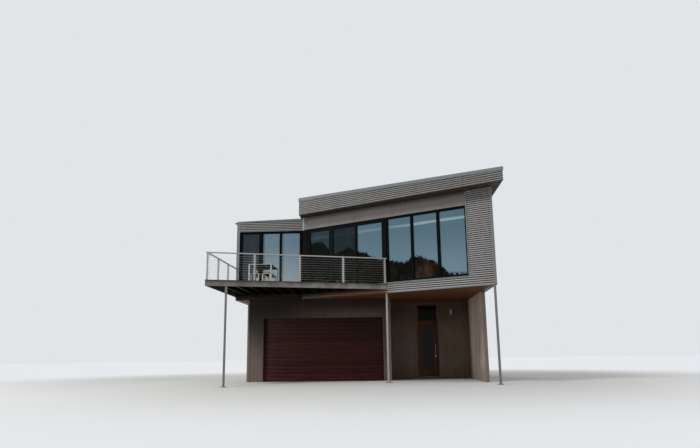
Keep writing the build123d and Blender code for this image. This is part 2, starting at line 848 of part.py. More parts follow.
def rim(left, front, width, length, bar):
    """Add the bars that join the legs' heads to the sketch."""
    block(left, left + width, front, front + length)
    opening(left + bar, left + width - bar, front + bar, front + length - bar)


bench_front = table_front + (table_length - bench_length) / 2
leg_room = table_bar + bench_gap
bench_rows = [table_left + leg_room, table_left + table_width - leg_room - bench_width]
with BuildPart() as deck_table_frame:
    with BuildSketch(level(deck_level)):
        legs(table_left, table_front, table_width, table_length, table_bar)
    extrude(amount=leg_height)
    with BuildSketch(level(deck_level + leg_height - table_bar)):
        rim(table_left, table_front, table_width, table_length, table_bar)
    extrude(amount=table_bar)
save(deck_table_frame, "deck_table_frame")

with BuildPart() as deck_table_top:
    with BuildSketch(level(deck_level + leg_height)):
        block(table_left, table_left + table_width, table_front, table_front + table_length)
    extrude(amount=table_top_thickness)
save(deck_table_top, "deck_table_top")

with BuildPart() as deck_benches:
    with BuildSketch(level(deck_level)):
        for left in bench_rows:
            legs(left, bench_front, bench_width, bench_length, bench_bar)
    extrude(amount=bench_height - bench_top_thickness)
    with BuildSketch(level(deck_level + bench_height - bench_top_thickness)):
        for left in bench_rows:
            block(left, left + bench_width, bench_front, bench_front + bench_length)
    extrude(amount=bench_top_thickness)
save(deck_benches, "deck_benches")

print("origin in the garage grid", middle)
print("entry hinge axis", hinge_x - middle[0], hinge_y - middle[1])
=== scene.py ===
import json
import math

import bmesh
import bpy
from mathutils import Matrix, Vector


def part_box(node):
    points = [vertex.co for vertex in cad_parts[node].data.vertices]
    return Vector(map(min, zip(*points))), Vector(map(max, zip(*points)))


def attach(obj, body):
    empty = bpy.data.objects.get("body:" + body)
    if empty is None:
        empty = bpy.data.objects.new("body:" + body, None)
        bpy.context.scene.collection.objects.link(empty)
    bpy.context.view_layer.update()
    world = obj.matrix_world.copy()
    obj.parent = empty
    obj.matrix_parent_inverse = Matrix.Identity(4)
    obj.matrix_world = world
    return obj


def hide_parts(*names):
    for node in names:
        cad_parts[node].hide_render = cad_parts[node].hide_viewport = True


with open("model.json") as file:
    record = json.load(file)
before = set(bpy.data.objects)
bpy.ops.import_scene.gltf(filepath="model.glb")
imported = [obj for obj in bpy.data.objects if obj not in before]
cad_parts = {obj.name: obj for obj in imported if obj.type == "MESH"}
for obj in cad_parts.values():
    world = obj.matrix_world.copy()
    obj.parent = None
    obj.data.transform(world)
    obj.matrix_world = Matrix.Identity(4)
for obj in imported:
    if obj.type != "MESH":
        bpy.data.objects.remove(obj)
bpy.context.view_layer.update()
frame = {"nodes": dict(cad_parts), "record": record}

# Camera, worked out from the photograph, which is 700 pixels wide
photo_width = 700
focal_pixels = 623
sensor_width = 36
camera_place = (1.132, -27.704, 1.018)
camera_heading = 3.13
camera_pitch = 11.93
camera_roll = -0.74

# Sheets and boards
rib_pitch = 0.076
rib_depth = 0.016
rib_steps = 8
sheet_thickness = 0.001
sheet_gap = 0.002
board_pitch = 0.150
board_groove = 0.010
board_groove_depth = 0.006
board_proud = 0.014
groove_bevel = 0.0025
ground_gap = 0.02
band_start = 0.205
band_sheet_width = 1.2
band_sheet_thickness = 0.006
band_joint = 0.008
eave_sheet_width = 1.2
lining_board = 0.135
ledger_proud = 0.022
ledger_joint = 0.006

# Flashings
trim_thickness = 0.003
corner_leg = 0.05
left_corner_leg = 0.105
lower_corner_leg = 0.04
window_trim = 0.045
jamb_trim = 0.05
foot_trim = 0.03
sill_nose = 0.012
sill_drop = 0.028
drip_lip = 0.006
cap_length = 2.4
strap_half = 0.03
strap_reach = 0.05
barge_lift = 0.024

# Garage door
door_sections = 4
boards_per_section = 4
section_gap = 0.006
door_board_gap = 0.004
door_board_depth = 0.024
garage_board = 0.161         # from one board to the next, for their tones
door_seal = 0.02

# Windows and doors
bead_width = 0.016
bead_depth = 0.014
pane_rim = 0.032
sash_width = 0.045
sash_inset = 0.046
trim_proud = 0.006
sill_proud = 0.02
screen_gap = 0.004
screen_sag = 0.004
screen_thickness = 0.001
screen_frame = 0.014
lock_level = 0.95
light_level = 2.87
light_from_fin = 0.767

# Gutter and pipes
gutter_wall = 0.003
gutter_drop = 0.12
box_gutter_width = 0.20
pipe_radius = 0.045
pipe_from_wall = 0.068
bracket_spacing = 0.9
bracket_half = 0.012

# Deck and balustrade
plank_width = 0.090
plank_gap = 0.005
plank_pitch = plank_width + plank_gap
screw_inset = 0.022
base_plate = (0.076, 0.076, 0.008)
foot_plate = (0.20, 0.20, 0.012)
bolt_reach = 0.075
bolt_spacing = 0.9
swage_radius = 0.0065
swage_length = 0.07
grommet_radius = 0.009
grommet_length = 0.008

# Furniture
slat_width = 0.075
slat_gap = 0.012
table_edge = 0.030
table_leg = 0.052
bench_bar = 0.04

# Bevels, the angle in radians from which an edge gets one, and the turn of a rod that stands
# out of a side
fine_bevel = 0.002
trim_bevel = 0.003
round_bevel = 0.004
sharp_edge = 0.5
lying = Matrix.Rotation(math.pi / 2, 4, "X")


# The studio: camera, lamps, world and floor
def make_camera():
    """The photograph's own view."""
    data = bpy.data.cameras.new("camera")
    data.sensor_width = sensor_width
    data.lens = sensor_width * focal_pixels / photo_width
    data.clip_end = 500
    camera = bpy.data.objects.new("camera", data)
    turn = (Matrix.Rotation(math.radians(camera_heading), 4, "Z")
            @ Matrix.Rotation(math.radians(90 + camera_pitch), 4, "X")
            @ Matrix.Rotation(math.radians(camera_roll), 4, "Z"))
    camera.matrix_world = Matrix.Translation(camera_place) @ turn
    bpy.context.scene.collection.objects.link(camera)
    bpy.context.scene.camera = camera


def make_lamp(name, place, target, size, power):
    """A round soft lamp, aimed at a point."""
    data = bpy.data.lights.new(name, "AREA")
    data.shape = "DISK"
    data.size = size
    data.energy = power
    lamp = bpy.data.objects.new(name, data)
    lamp.location = place
    aim = Vector(target) - Vector(place)
    lamp.rotation_euler = aim.to_track_quat("-Z", "Y").to_euler()
    bpy.context.scene.collection.objects.link(lamp)


make_camera()
bpy.context.scene.view_settings.view_transform = "Standard"


# Places on the frame
class Side:
    """An upright side, seen from outside: x runs from its left end, y into it, z up."""

    def __init__(self, left, right):
        self.left = Vector((left[0], left[1], 0))
        self.right = Vector((right[0], right[1], 0))
        self.length = (self.right - self.left).length
        self.along = (self.right - self.left).normalized()
        self.into = Vector((-self.along.y, self.along.x, 0))
        turn = Matrix((self.along, self.into, Vector((0, 0, 1)))).transposed()
        self.place = Matrix.Translation(self.left) @ turn.to_4x4()

    def point(self, x, y=0, z=0):
        return self.place @ Vector((x, y, z))

    def local(self, point):
        return self.place.inverted() @ Vector(point)

    def turn(self):
        return Matrix.Rotation(math.atan2(self.along.y, self.along.x), 4, "Z")


def sides_through(*corners):
    """The sides round a plan, from each of its corners to the next."""
    return [Side(left, right) for left, right in zip(corners, corners[1:] + corners[:1])]


def meet(first, first_depth, second, second_depth):
    """Where two sides' lines cross in plan, each moved inwards by its depth."""
    a = first.point(0, first_depth)
    b = second.point(0, second_depth)
    gap = b - a
    cross = first.along.x * second.along.y - first.along.y * second.along.x
    reach = (gap.x * second.along.y - gap.y * second.along.x) / cross
    return a + first.along * reach


def solids(node):
    """The corner points of each separate solid of a node."""
    bm = bmesh.new()
    bm.from_mesh(frame["nodes"][node].data)
    bmesh.ops.remove_doubles(bm, verts=bm.verts, dist=0.0001)
    left = set(bm.verts)
    found = []
    while left:
        group, edge = [], [left.pop()]
        while edge:
            vert = edge.pop()
            group.append(vert.co.copy())
            for link in vert.link_edges:
                other = link.other_vert(vert)
                if other in left:
                    left.remove(other)
                    edge.append(other)
        found.append(group)
    bm.free()
    return found


def extent(points, side=None):
    """Lowest and highest corner of some points, in a side's own axes if one is given."""
    placed = [side.local(point) if side else point for point in points]
    low = Vector([min(point[i] for point in placed) for i in range(3)])
    high = Vector([max(point[i] for point in placed) for i in range(3)])
    return low, high


def on_side(node, side, bottom=0, top=100):
    """The boxes, in a side's axes, of a node's solids that stand in it between two heights."""
    boxes = [extent(group, side) for group in solids(node)]
    return sorted([(low, high) for low, high in boxes
                   if -0.05 < low.y and high.y < 0.3 and high.x > 0 and low.x < side.length
                   and bottom <= low.z and high.z <= top], key=lambda box: box[0].x)


low_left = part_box("left_wall_upper")[0]
apron_low, apron_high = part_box("wing_apron")
band_low, band_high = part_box("wing_head_band")
front_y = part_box("left_front_apron")[0].y
back_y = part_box("back_wall_upper")[1].y
soffit_level = apron_low.z
sill_level = apron_high.z
head_level = band_low.z
roof_level = band_high.z
heel = (band_low.x, front_y)
tip = (apron_high.x, apron_low.y)
left_front, wing, right_upper, back_upper, left_upper = sides_through(
    (low_left.x, front_y), heel, tip, (tip[0], back_y), (low_left.x, back_y))

slab_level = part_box("ground_slab")[1].z
house_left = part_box("front_wall_left_pier")[0].x
garage_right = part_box("porch_side_wall")[1].x
entry_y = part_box("entry_wall_left")[0].y
fin_low, fin_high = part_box("fin_wall")
(garage_front, porch_side, entry_side, fin_inner, fin_end,
 right_lower, back_lower, left_lower) = sides_through(
    (house_left, front_y), (garage_right, front_y), (garage_right, entry_y), (fin_low.x, entry_y),
    (fin_low.x, fin_low.y), (fin_high.x, fin_low.y), (fin_high.x, back_y), (house_left, back_y))

fascia_low, fascia_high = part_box("high_roof_fascia")
roof_tip = Vector((fascia_high.x, fascia_low.y, 0))
roof_heel = roof_tip - wing.along * ((fascia_high.x - fascia_low.x) / wing.along.x)
roof_sides = sides_through(roof_heel, roof_tip, fascia_high, (fascia_low.x, fascia_high.y))

rim_low, rim_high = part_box("deck_rim")
deck_end = wing.left + wing.along * ((rim_high.x - wing.left.x) / wing.along.x)
deck_front = Side((rim_low.x, rim_low.y), deck_end)
deck_side = Side((rim_low.x, front_y), (rim_low.x, rim_low.y))
deck_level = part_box("deck_boards")[1].z


# Slopes of the two roofs, read from the solids' own corners
def height_along_x(node, keep):
    """The straight fall of a node's top, as a function of x, from its corners that keep allows."""
    points = [point for group in solids(node) for point in group if keep(point)]
    low_x = min(points, key=lambda p: (round(p.x, 3), -p.z))
    high_x = min(points, key=lambda p: (-round(p.x, 3), -p.z))
    fall = (high_x.z - low_x.z) / (high_x.x - low_x.x)
    return lambda x: low_x.z + (x - low_x.x) * fall


def raised(surface, lift):
    """The height of a slope moved up by a lift, as a function of a point."""
    return lambda point: surface(point[0]) + lift


fascia_top = height_along_x("high_roof_fascia", lambda p: p.z > roof_level + 0.1)
sheet_top = height_along_x("high_roof_sheet", lambda p: True)
low_roof_top = height_along_x("left_front_band", lambda p: p.z > head_level + 0.1)


# Shader maths: a wire is a socket, and an expression on wires adds its nodes
def maths(operation, reflected=False):
    """A method of a wire that adds one maths node."""
    def method(self, *others):
        values = (*others, self) if reflected else (self, *others)
        return self.finish.add("ShaderNodeMath", {"operation": operation}, dict(enumerate(values)))
    return method


class Wire:
    """A number that varies over a surface."""

    __add__ = __radd__ = maths("ADD")
    __mul__ = __rmul__ = maths("MULTIPLY")
    __sub__ = maths("SUBTRACT")
    __rsub__ = maths("SUBTRACT", True)
    __truediv__ = maths("DIVIDE")
    floor = maths("FLOOR")
    fraction = maths("FRACT")
    sine = maths("SINE")

    def __init__(self, finish, socket):
        self.finish = finish
        self.socket = socket

    def between(self, low, high):
        """0 below low, 1 above high, smooth between."""
        settings = {"interpolation_type": "SMOOTHSTEP"}
        return self.finish.add("ShaderNodeMapRange", settings, {0: self, 1: low, 2: high})


class Finish:
    """A material, and the nodes that make its surface."""

    def __init__(self, name, **surface):
        self.material = bpy.data.materials.new(name)
        self.material.use_nodes = True
        self.tree = self.material.node_tree
        self.surface = self.tree.nodes["Principled BSDF"]
        self.place = self.add("ShaderNodeTexCoord", output="Object")
        split = self.add("ShaderNodeSeparateXYZ", inputs={0: self.place})
        self.x, self.y, self.z = [Wire(self, out) for out in split.socket.node.outputs]
        for name, value in surface.items():
            self.surface.inputs[name.replace("_", " ")].default_value = value

    def add(self, kind, settings=None, inputs=None, output=0):
        node = self.tree.nodes.new(kind)
        for name, value in (settings or {}).items():
            if name == "stops":
                self.set_stops(node.color_ramp, value)
            else:
                setattr(node, name, value)
        for name, value in (inputs or {}).items():
            self.join(value, node.inputs[name])
        return Wire(self, node.outputs[output])

    def set_stops(self, ramp, stops):
        while len(ramp.elements) < len(stops):
            ramp.elements.new(1)
        for element, (position, colour) in zip(ramp.elements, stops):
            element.position = position
            element.color = colour

    def join(self, value, socket):
        if isinstance(value, Wire):
            self.tree.links.new(value.socket, socket)
        else:
            socket.default_value = value

    def vectors(self, operation, *values, output=0):
        return self.add("ShaderNodeVectorMath", {"operation": operation}, dict(enumerate(values)), output)

    def stretched(self, x, y, z):
        """Object coordinates, scaled along each axis."""
        return self.vectors("MULTIPLY", self.place, (x, y, z))

    def noise(self, scale, detail=3, roughness=0.55):
        """Soft noise. The scale is a number, one for each axis, or a wire of coordinates."""
        vector, size = self.place, scale
        if isinstance(scale, (tuple, Wire)):
            vector = scale if isinstance(scale, Wire) else self.stretched(*scale)
            size = 1.0
        values = {"Vector": vector, "Scale": size, "Detail": detail, "Roughness": roughness}
        return self.add("ShaderNodeTexNoise", inputs=values)

    def random_at(self, *steps):
        """A random number for each whole step, the same at every point of it."""
        point = self.add("ShaderNodeCombineXYZ", inputs=dict(enumerate(steps)))
        return self.add("ShaderNodeTexWhiteNoise", inputs={0: point})

    def mix(self, factor, first, second, blend="MIX"):
        settings = {"data_type": "RGBA", "blend_type": blend}
        return self.add("ShaderNodeMix", settings, {0: factor, 6: first, 7: second}, output=2)

    def along(self, side):
        """The distance along a side from its left end."""
        reach = self.vectors("DOT_PRODUCT", self.place, tuple(side.along), output="Value")
        return reach - side.left.dot(side.along)

    def shade(self, colour, amount):
        """The colour times a number near 1."""
        base = colour if isinstance(colour, Wire) else colour[:3]
        return self.add("ShaderNodeVectorMath", {"operation": "SCALE"}, {0: base, "Scale": amount})

    def finished(self, colour=None, roughness=None, bump=None, alpha=None):
        """The material. The bump is its height, its distance in metres and its strength."""
        values = dict(zip(("Height", "Distance", "Strength"), bump or ()))
        normal = self.add("ShaderNodeBump", inputs=values) if bump else None
        wires = {"Base Color": colour, "Roughness": roughness, "Normal": normal, "Alpha": alpha}
        for name, wire in wires.items():
            if wire is not None:
                self.join(wire, self.surface.inputs[name])
        return self.material


def rgb(red, green, blue):
    """A colour given as it shows on screen, from 0 to 255, in the shader's linear numbers."""
    def linear(value):
        value = value / 255
        return value / 12.92 if value <= 0.04045 else ((value + 0.055) / 1.055) ** 2.4
    return (linear(red), linear(green), linear(blue), 1)


# World and floor: pale to the eye, the gloss and the glass, and plain soft light on the house
pale = rgb(226, 229, 232)
sky_light = (0.93, 0.96, 1.0, 1)
sky_strength = 0.36
floor_bounce = rgb(116, 108, 98)
floor_pale = rgb(214, 213, 210)
floor_fades = (10, 21)
floor_reach = 160
black = rgb(0, 0, 0)
# The dark brown that painted shade mixes towards
shade_brown = rgb(24, 14, 5)


def seen_directly(tree):
    """1 for camera, gloss and transmission rays, else 0."""
    path = tree.nodes.new("ShaderNodeLightPath")
    total = path.outputs["Is Camera Ray"]
    for name in ("Is Glossy Ray", "Is Transmission Ray"):
        either = tree.nodes.new("ShaderNodeMath")
        either.operation = "MAXIMUM"
        tree.links.new(total, either.inputs[0])
        tree.links.new(path.outputs[name], either.inputs[1])
        total = either.outputs[0]
    return total


def make_world():
    """Soft light on the house, and a pale backdrop where it is seen directly."""
    world = bpy.data.worlds.new("studio")
    world.use_nodes = True
    tree = world.node_tree
    light = tree.nodes["Background"]
    light.inputs["Color"].default_value = sky_light
    light.inputs["Strength"].default_value = sky_strength
    seen = tree.nodes.new("ShaderNodeBackground")
    seen.inputs["Color"].default_value = pale
    choice = tree.nodes.new("ShaderNodeMixShader")
    tree.links.new(seen_directly(tree), choice.inputs[0])
    tree.links.new(light.outputs[0], choice.inputs[1])
    tree.links.new(seen.outputs[0], choice.inputs[2])
    tree.links.new(choice.outputs[0], tree.nodes["World Output"].inputs[0])
    bpy.context.scene.world = world


def make_floor():
    """A pale floor that passes into the background away from the house."""
    finish = Finish("studio_floor", Roughness=0.9, Specular_IOR_Level=0.1, Emission_Strength=1)
    seen = Wire(finish, seen_directly(finish.tree))
    reach = finish.vectors("LENGTH", finish.place, output="Value")
    far = reach.between(*floor_fades) * seen
    finish.join(finish.mix(far, black, pale), finish.surface.inputs["Emission Color"])
    colour = finish.mix(far, finish.mix(seen, floor_bounce, floor_pale), black)
    bm = bmesh.new()
    bmesh.ops.create_circle(bm, cap_ends=True, segments=64, radius=floor_reach)
    mesh = bpy.data.meshes.new("studio_floor")
    bm.to_mesh(mesh)
    bm.free()
    mesh.materials.append(finish.finished(colour))
    floor = bpy.data.objects.new("studio_floor", mesh)
    bpy.context.scene.collection.objects.link(floor)


make_world()
make_floor()
for lamp in (("key", (-16, -25, 27), (1, -3, 4), 9, 5600),
             ("side", (-30, -15, 4), (4, -1, 2.5), 8, 5200),
             ("right_fill", (27, -16, 9), (1, -2, 4), 11, 3400),
             ("back_fill", (-4, 32, 16), (0, 2, 4), 12, 3600)):
    make_lamp(*lamp)


# Finishes
def corrugated_steel(name, colour, dust, rib_shade, rib):
    """Baked enamel on ribbed sheet: a film of salt and dust, and painted shade under each rib.
    How dark that shade is runs from 0 to 1, and rib is the place across the ribs, in whole ribs."""
    finish = Finish(name, Specular_IOR_Level=0.3)
    cloudy = finish.noise(0.9, 4)
    runs = finish.noise((9, 9, 0.35), 3)
    speck = finish.noise(140, 2, 0.7)
    film = (cloudy * 0.55 + runs * 0.45).between(0.42, 0.68)
    tone = finish.mix(film * 0.5, colour, dust)
    # Painted shade on the downward-facing half of each rib
    shadow = (rib(finish) * (2 * math.pi)).sine().between(-0.75, 0.75)
    tone = finish.shade(tone, 0.97 + speck * 0.06 - shadow * rib_shade)
    roughness = 0.42 + film * 0.18
    return finish.finished(tone, roughness, (speck, 0.0004, 0.25))


def folded_steel(name, colour):
    """Folded flashing in the same enamel, with dulled patches and fine scuffs."""
    finish = Finish(name, Specular_IOR_Level=0.35)
    cloudy = finish.noise(2.5, 4)
    scuff = finish.noise((60, 60, 6), 3, 0.7)
    tone = finish.shade(colour, 0.9 + cloudy * 0.14 + scuff * 0.05)
    return finish.finished(tone, 0.34 + scuff * 0.22, (cloudy, 0.002, 0.12))


def painted_boards(name, colour, weathered, upright_step, streaks=0.3, shaded=None):
    """Painted timber boards: each a little different, grain under the paint, dirt near the ground.
    streaks is how strongly rain has streaked them; shaded gives, from 0 to 1, where painted shade darkens
    them."""
    finish = Finish(name, Specular_IOR_Level=0.2)
    across = (finish.x + finish.y) / upright_step
    each = finish.random_at(across.floor())
    grain = finish.noise((38, 38, 1.6), 4, 0.6)
    patches = finish.noise(1.3, 3)
    splash = 1 - finish.z.between(0.05, 0.75)
    tone = finish.mix(patches.between(0.4, 0.72) * 0.45, colour, weathered)
    tone = finish.mix(splash * (0.25 + grain * 0.3), tone, rgb(92, 80, 68))
    runs = finish.noise((3.6, 3.6, 0.25), 4, 0.7) * streaks + (1 - streaks * 0.5)
    tone = finish.shade(tone, (0.9 + each * 0.1 + grain * 0.12) * runs)
    # Painted shade, mixed towards a dark brown where shaded says
    if shaded:
        tone = finish.mix(shaded(finish), tone, shade_brown)
    return finish.finished(tone, 0.6 + grain * 0.2, (grain, 0.0012, 0.5))


def stained_timber(name, dark, light, along, board, specular=0.25, shaded=None, uneven=0.3):
    """Stained boards with long grain: along says which way the grain runs, x, y or z.
    shaded gives, from 0 to 1, where painted shade darkens them; uneven is how much the boards differ."""
    finish = Finish(name, Specular_IOR_Level=specular)
    steps = {"x": (1.1, 26, 30), "y": (26, 1.1, 30), "z": (26, 26, 1.1)}[along]
    stack = finish.z if along != "z" else finish.x + finish.y
    each = finish.random_at((stack / board).floor())
    offset = finish.add("ShaderNodeCombineXYZ", inputs={0: each * 37})
    shift = finish.vectors("ADD", finish.stretched(*steps), offset)
    grain = finish.noise(shift, 5, 0.62)
    fibre = finish.noise(tuple(step * 4 for step in steps), 2, 0.7)
    tone = finish.mix(grain.between(0.3, 0.72), dark, light)
    tone = finish.shade(tone, 0.93 - uneven / 2 + each * uneven + fibre * 0.14)
    # Painted shade, mixed towards a dark brown where shaded says
    if shaded:
        tone = finish.mix(shaded(finish), tone, shade_brown)
    return finish.finished(tone, 0.42 + fibre * 0.2, (grain + fibre * 0.4, 0.0015, 0.45))


def weathered_timber(name, colour, silver, painted_shade=None):
    """Grey decking and joinery that has stood in the sun: checks, knots and silvered fibre.
    The last argument gives, from 0 to 1, where painted shade darkens it."""
    finish = Finish(name, Specular_IOR_Level=0.15)
    grain = finish.noise((2.2, 40, 34), 5, 0.65)
    patches = finish.noise(2.4, 4)
    each = finish.random_at((finish.y / plank_pitch).floor())
    knots = finish.add("ShaderNodeTexVoronoi", {"feature": "F1"},
                       {"Vector": finish.stretched(1.1, 5.5, 5.5), "Scale": 1.3})
    tone = finish.mix(patches.between(0.35, 0.7), colour, silver)
    tone = finish.mix((1 - knots.between(0.03, 0.09)) * 0.6, tone, rgb(44, 34, 27))
    # Painted shade darkens the tone where the last argument is high
    tone = finish.shade(tone, (0.78 + grain * 0.26 + each * 0.16) * (1 - painted_shade(finish) * 0.88))
    return finish.finished(tone, 0.72 + grain * 0.15, (grain, 0.002, 0.6))


def galvanised(name, colour):
    """Hot-dip zinc: large soft spangles and dull white bloom."""
    finish = Finish(name, Metallic=0.35, Specular_IOR_Level=0.4)
    spangle = finish.add("ShaderNodeTexVoronoi", {"feature": "F1"}, {"Vector": finish.place, "Scale": 55},
                         output="Color")
    level = finish.add("ShaderNodeSeparateColor", inputs={0: spangle})
    bloom = finish.noise(3.2, 4)
    runs = finish.noise((30, 30, 1.2), 3)
    tone = finish.shade(colour, 0.84 + level * 0.12 + bloom * 0.12 + runs * 0.06)
    return finish.finished(tone, 0.42 + bloom * 0.2, (level, 0.0004, 0.3))


def dark_frames(name, roughness, heel_shade=None):
    """Powder-coated aluminium, near black, with salt dust in its texture. A heel tone is painted
    shade on the panel in the corner at the wing's heel."""
    finish = Finish(name, Specular_IOR_Level=0.03)
    dust = finish.noise(1.7, 4)
    fine = finish.noise(320, 2, 0.7)
    tone = finish.mix(dust.between(0.4, 0.75) * 0.4, rgb(3, 6, 8), rgb(13, 18, 21))
    if heel_shade:
        # Painted shade in the corner at the wing's heel
        tone = finish.mix(1 - finish.along(wing).between(0.8, 1.2), tone, heel_shade)
    return finish.finished(tone, roughness + fine * 0.18, (fine, 0.0003, 0.3))


def sky_glass(name, high, low):
    """Glass with a painted reflection of the sky's blue-grey, paler low down."""
    finish = Finish(name, Roughness=0.05, Specular_IOR_Level=0.05)
    drift = finish.noise((0.55, 0.55, 0.8), 2)
    tone = finish.mix(finish.z.between(3.8, 5.9), low, high)
    ripple = finish.noise(0.9, 1)
    return finish, finish.shade(tone, 0.92 + drift * 0.16), (ripple, 0.003, 0.08)


def left_block_glass():
    """The left block's and the side windows' glass, with a painted reflection of the sky; the pane over the
    entry is dark.
    """
    finish, tone, bump = sky_glass("left_glass_painted_reflection", rgb(107, 131, 144), rgb(152, 168, 176))
    over_entry = finish.x.between(0.0, 0.1) * (1 - finish.x.between(4.3, 4.4))
    over_entry = over_entry * (1 - finish.y.between(1.6, 1.8)) * (1 - finish.z.between(3.4, 3.5))
    return finish.finished(finish.mix(over_entry, tone, rgb(22, 20, 18)), None, bump)


# The skyline of trees in the wing glass's painted reflection, as (distance along the wing, height)
skyline_reach = 9
skyline_low = 3.6
skyline_rise = 2.4
skyline = ((0.3, 5.72), (0.8, 5.76), (1.06, 5.66), (1.36, 5.34), (1.6, 5.10), (2.05, 5.27), (2.37, 5.38),
           (2.65, 5.17), (3.2, 5.05), (3.36, 4.88), (4.1, 4.60), (4.5, 4.58), (5.0, 4.48), (5.2, 4.66),
           (5.6, 4.68), (6.0, 4.48), (6.4, 4.32), (6.6, 4.10), (6.72, 3.93), (7.5, 3.87))


def skyline_stops():
    """The skyline's heights along the wing, as grey stops of a ramp."""
    return [(reach / skyline_reach, (*[(height - skyline_low) / skyline_rise] * 3, 1))
            for reach, height in skyline]


def wing_glass():
    """The wing's glass, with a painted reflection: a thin pale cloud streak high up, and a dark skyline of
    trees low down.
    """
    finish, tone, bump = sky_glass("wing_glass_painted_reflection", rgb(86, 113, 126), rgb(114, 137, 150))
    reach = finish.along(wing)
    # A painted reflection of a pale cloud streak, high up
    wisp = finish.noise((1.3, 1.3, 6), 3)
    middle = finish.z + wisp * 0.08
    cloud = middle.between(5.90, 5.94) * (1 - middle.between(5.97, 6.05)) * reach.between(-1, 1)
    tone = finish.mix(cloud * (0.25 + reach.between(3.5, 6.5) * 0.6), tone, rgb(156, 175, 184))
    # The painted reflection of trees below the skyline: dark, with lit patches, a thicket and stems
    leaves = finish.noise((9, 9, 8), 6, 0.85)
    ramp = finish.add("ShaderNodeValToRGB", {"stops": skyline_stops()}, {0: reach / skyline_reach})
    height = finish.add("ShaderNodeSeparateColor", inputs={0: ramp}) * skyline_rise + skyline_low
    patches = finish.noise((1.7, 1.7, 1.1), 4, 0.6)
    thicket = reach.between(5.0, 5.2) * (1 - reach.between(6.0, 6.4))
    lit = finish.mix(thicket, rgb(27, 23, 14), rgb(60, 45, 33))
    crown = (height - finish.z).between(-0.10, 0.40)
    dark = finish.mix((patches + leaves * 0.2).between(0.48, 0.80) * crown, rgb(6, 6, 4), lit)
    stems = finish.noise((11, 11, 1.3), 3, 0.7).between(0.52, 0.68)
    stems = stems * reach.between(3.9, 4.1) * (1 - finish.z.between(3.85, 4.45))
    dark = finish.mix(stems * 0.45, dark, rgb(72, 61, 45))
    twigs = finish.noise((24, 24, 17), 3, 0.75)
    below = 1 - (finish.z + leaves * 0.6 + twigs * 0.22 - height).between(0.38, 0.43)
    return finish.finished(finish.mix(below, tone, dark), None, bump)


def dark_glass(name):
    """Glass with a dark hall behind it."""
    finish = Finish(name, Roughness=0.06, Specular_IOR_Level=0.12)
    drift = finish.noise((1.4, 1.4, 0.8), 3)
    tone = finish.mix(drift, rgb(14, 13, 12), rgb(30, 28, 26))
    return finish.finished(tone, None, (drift, 0.003, 0.08))


def brushed_steel(name):
    """Stainless steel with a fine upright brush."""
    finish = Finish(name, Metallic=1.0)
    brush = finish.noise((300, 300, 18), 2)
    tone = finish.shade(rgb(176, 178, 180), 0.86 + brush * 0.2)
    return finish.finished(tone, 0.26 + brush * 0.2, (brush, 0.0002, 0.3))


def wire_rope(name):
    """Stainless rope: the strands' twist shows as fine slanting bands."""
    finish = Finish(name, Metallic=0.6, Specular_IOR_Level=0.4)
    twist = ((finish.x + finish.y) * 160 + finish.z * 420).fraction()
    tone = finish.mix(twist.between(0.2, 0.8), rgb(142, 142, 138), rgb(196, 196, 190))
    return finish.finished(tone, 0.34 + twist * 0.2, (twist, 0.0006, 0.5))


def enamel_metal(name, colour):
    """Painted tube furniture, with worn patches where it is handled."""
    finish = Finish(name, Specular_IOR_Level=0.4)
    cloudy = finish.noise(6, 4)
    chips = finish.noise(90, 3, 0.7).between(0.70, 0.74)
    tone = finish.shade(finish.mix(chips * 0.5, colour, rgb(120, 116, 110)), 0.9 + cloudy * 0.14)
    return finish.finished(tone, 0.32 + cloudy * 0.2, (cloudy, 0.001, 0.15))


def lit_enamel(name, colour):
    """Pale enamel with a little light of its own."""
    finish = Finish(name, Specular_IOR_Level=0.3, Emission_Color=colour, Emission_Strength=0.035)
    cloudy = finish.noise(14, 3)
    return finish.finished(finish.shade(colour, 0.88 + cloudy * 0.16), 0.4 + cloudy * 0.1)


def cast_concrete(name):
    """Floated concrete, blotched and gritty."""
    finish = Finish(name, Specular_IOR_Level=0.2)
    blotch = finish.noise(1.8, 5)
    grit = finish.noise(160, 3, 0.7)
    tone = finish.mix(blotch.between(0.35, 0.7), rgb(122, 118, 112), rgb(150, 145, 138))
    tone = finish.shade(tone, 0.92 + grit * 0.14)
    return finish.finished(tone, 0.8 + grit * 0.1, (grit, 0.001, 0.5))


def sheet_lining(name, dark, light, step, side):
    """Stained lining boards laid along a side, with a fine joint between boards."""
    finish = Finish(name, Specular_IOR_Level=0.2)
    along = finish.along(side)
    across = finish.along(Side(side.left, side.left + side.into)) / step
    each = finish.random_at(across.floor())
    values = {0: along * 1.4, 1: across * (30 * step), 2: each * 9}
    stretch = finish.add("ShaderNodeCombineXYZ", inputs=values)
    grain = finish.noise(stretch, 4, 0.6)
    edge = across.fraction()
    joint = edge.between(0.0, 0.05) * (1 - edge.between(0.95, 1.0))
    tone = finish.shade(finish.mix(grain.between(0.3, 0.7), dark, light), 0.82 + each * 0.28)
    tone = finish.mix(joint, rgb(14, 10, 8), tone)
    return finish.finished(tone, 0.55 + grain * 0.15, (joint, 0.004, 0.7))


def insect_mesh(name, cover):
    """Black woven screen: the glass behind it shows through. cover is the share it hides."""
    finish = Finish(name, Roughness=0.8, Specular_IOR_Level=0.03)
    weave = (finish.z * 620).fraction() * (finish.x * 620).fraction()
    tone = finish.shade(rgb(24, 29, 27), 0.8 + weave * 0.8)
    sag = finish.noise((3.5, 3.5, 0.4), 2)
    return finish.finished(tone, None, None, cover - 0.07 + sag * 0.14)


def rubber(name):
    """Black rubber with dust on it."""
    finish = Finish(name, Specular_IOR_Level=0.2)
    dust = finish.noise(12, 4)
    tone = finish.mix(dust.between(0.4, 0.7), rgb(16, 15, 15), rgb(38, 35, 32))
    return finish.finished(tone, 0.6 + dust * 0.25, (dust, 0.0006, 0.3))


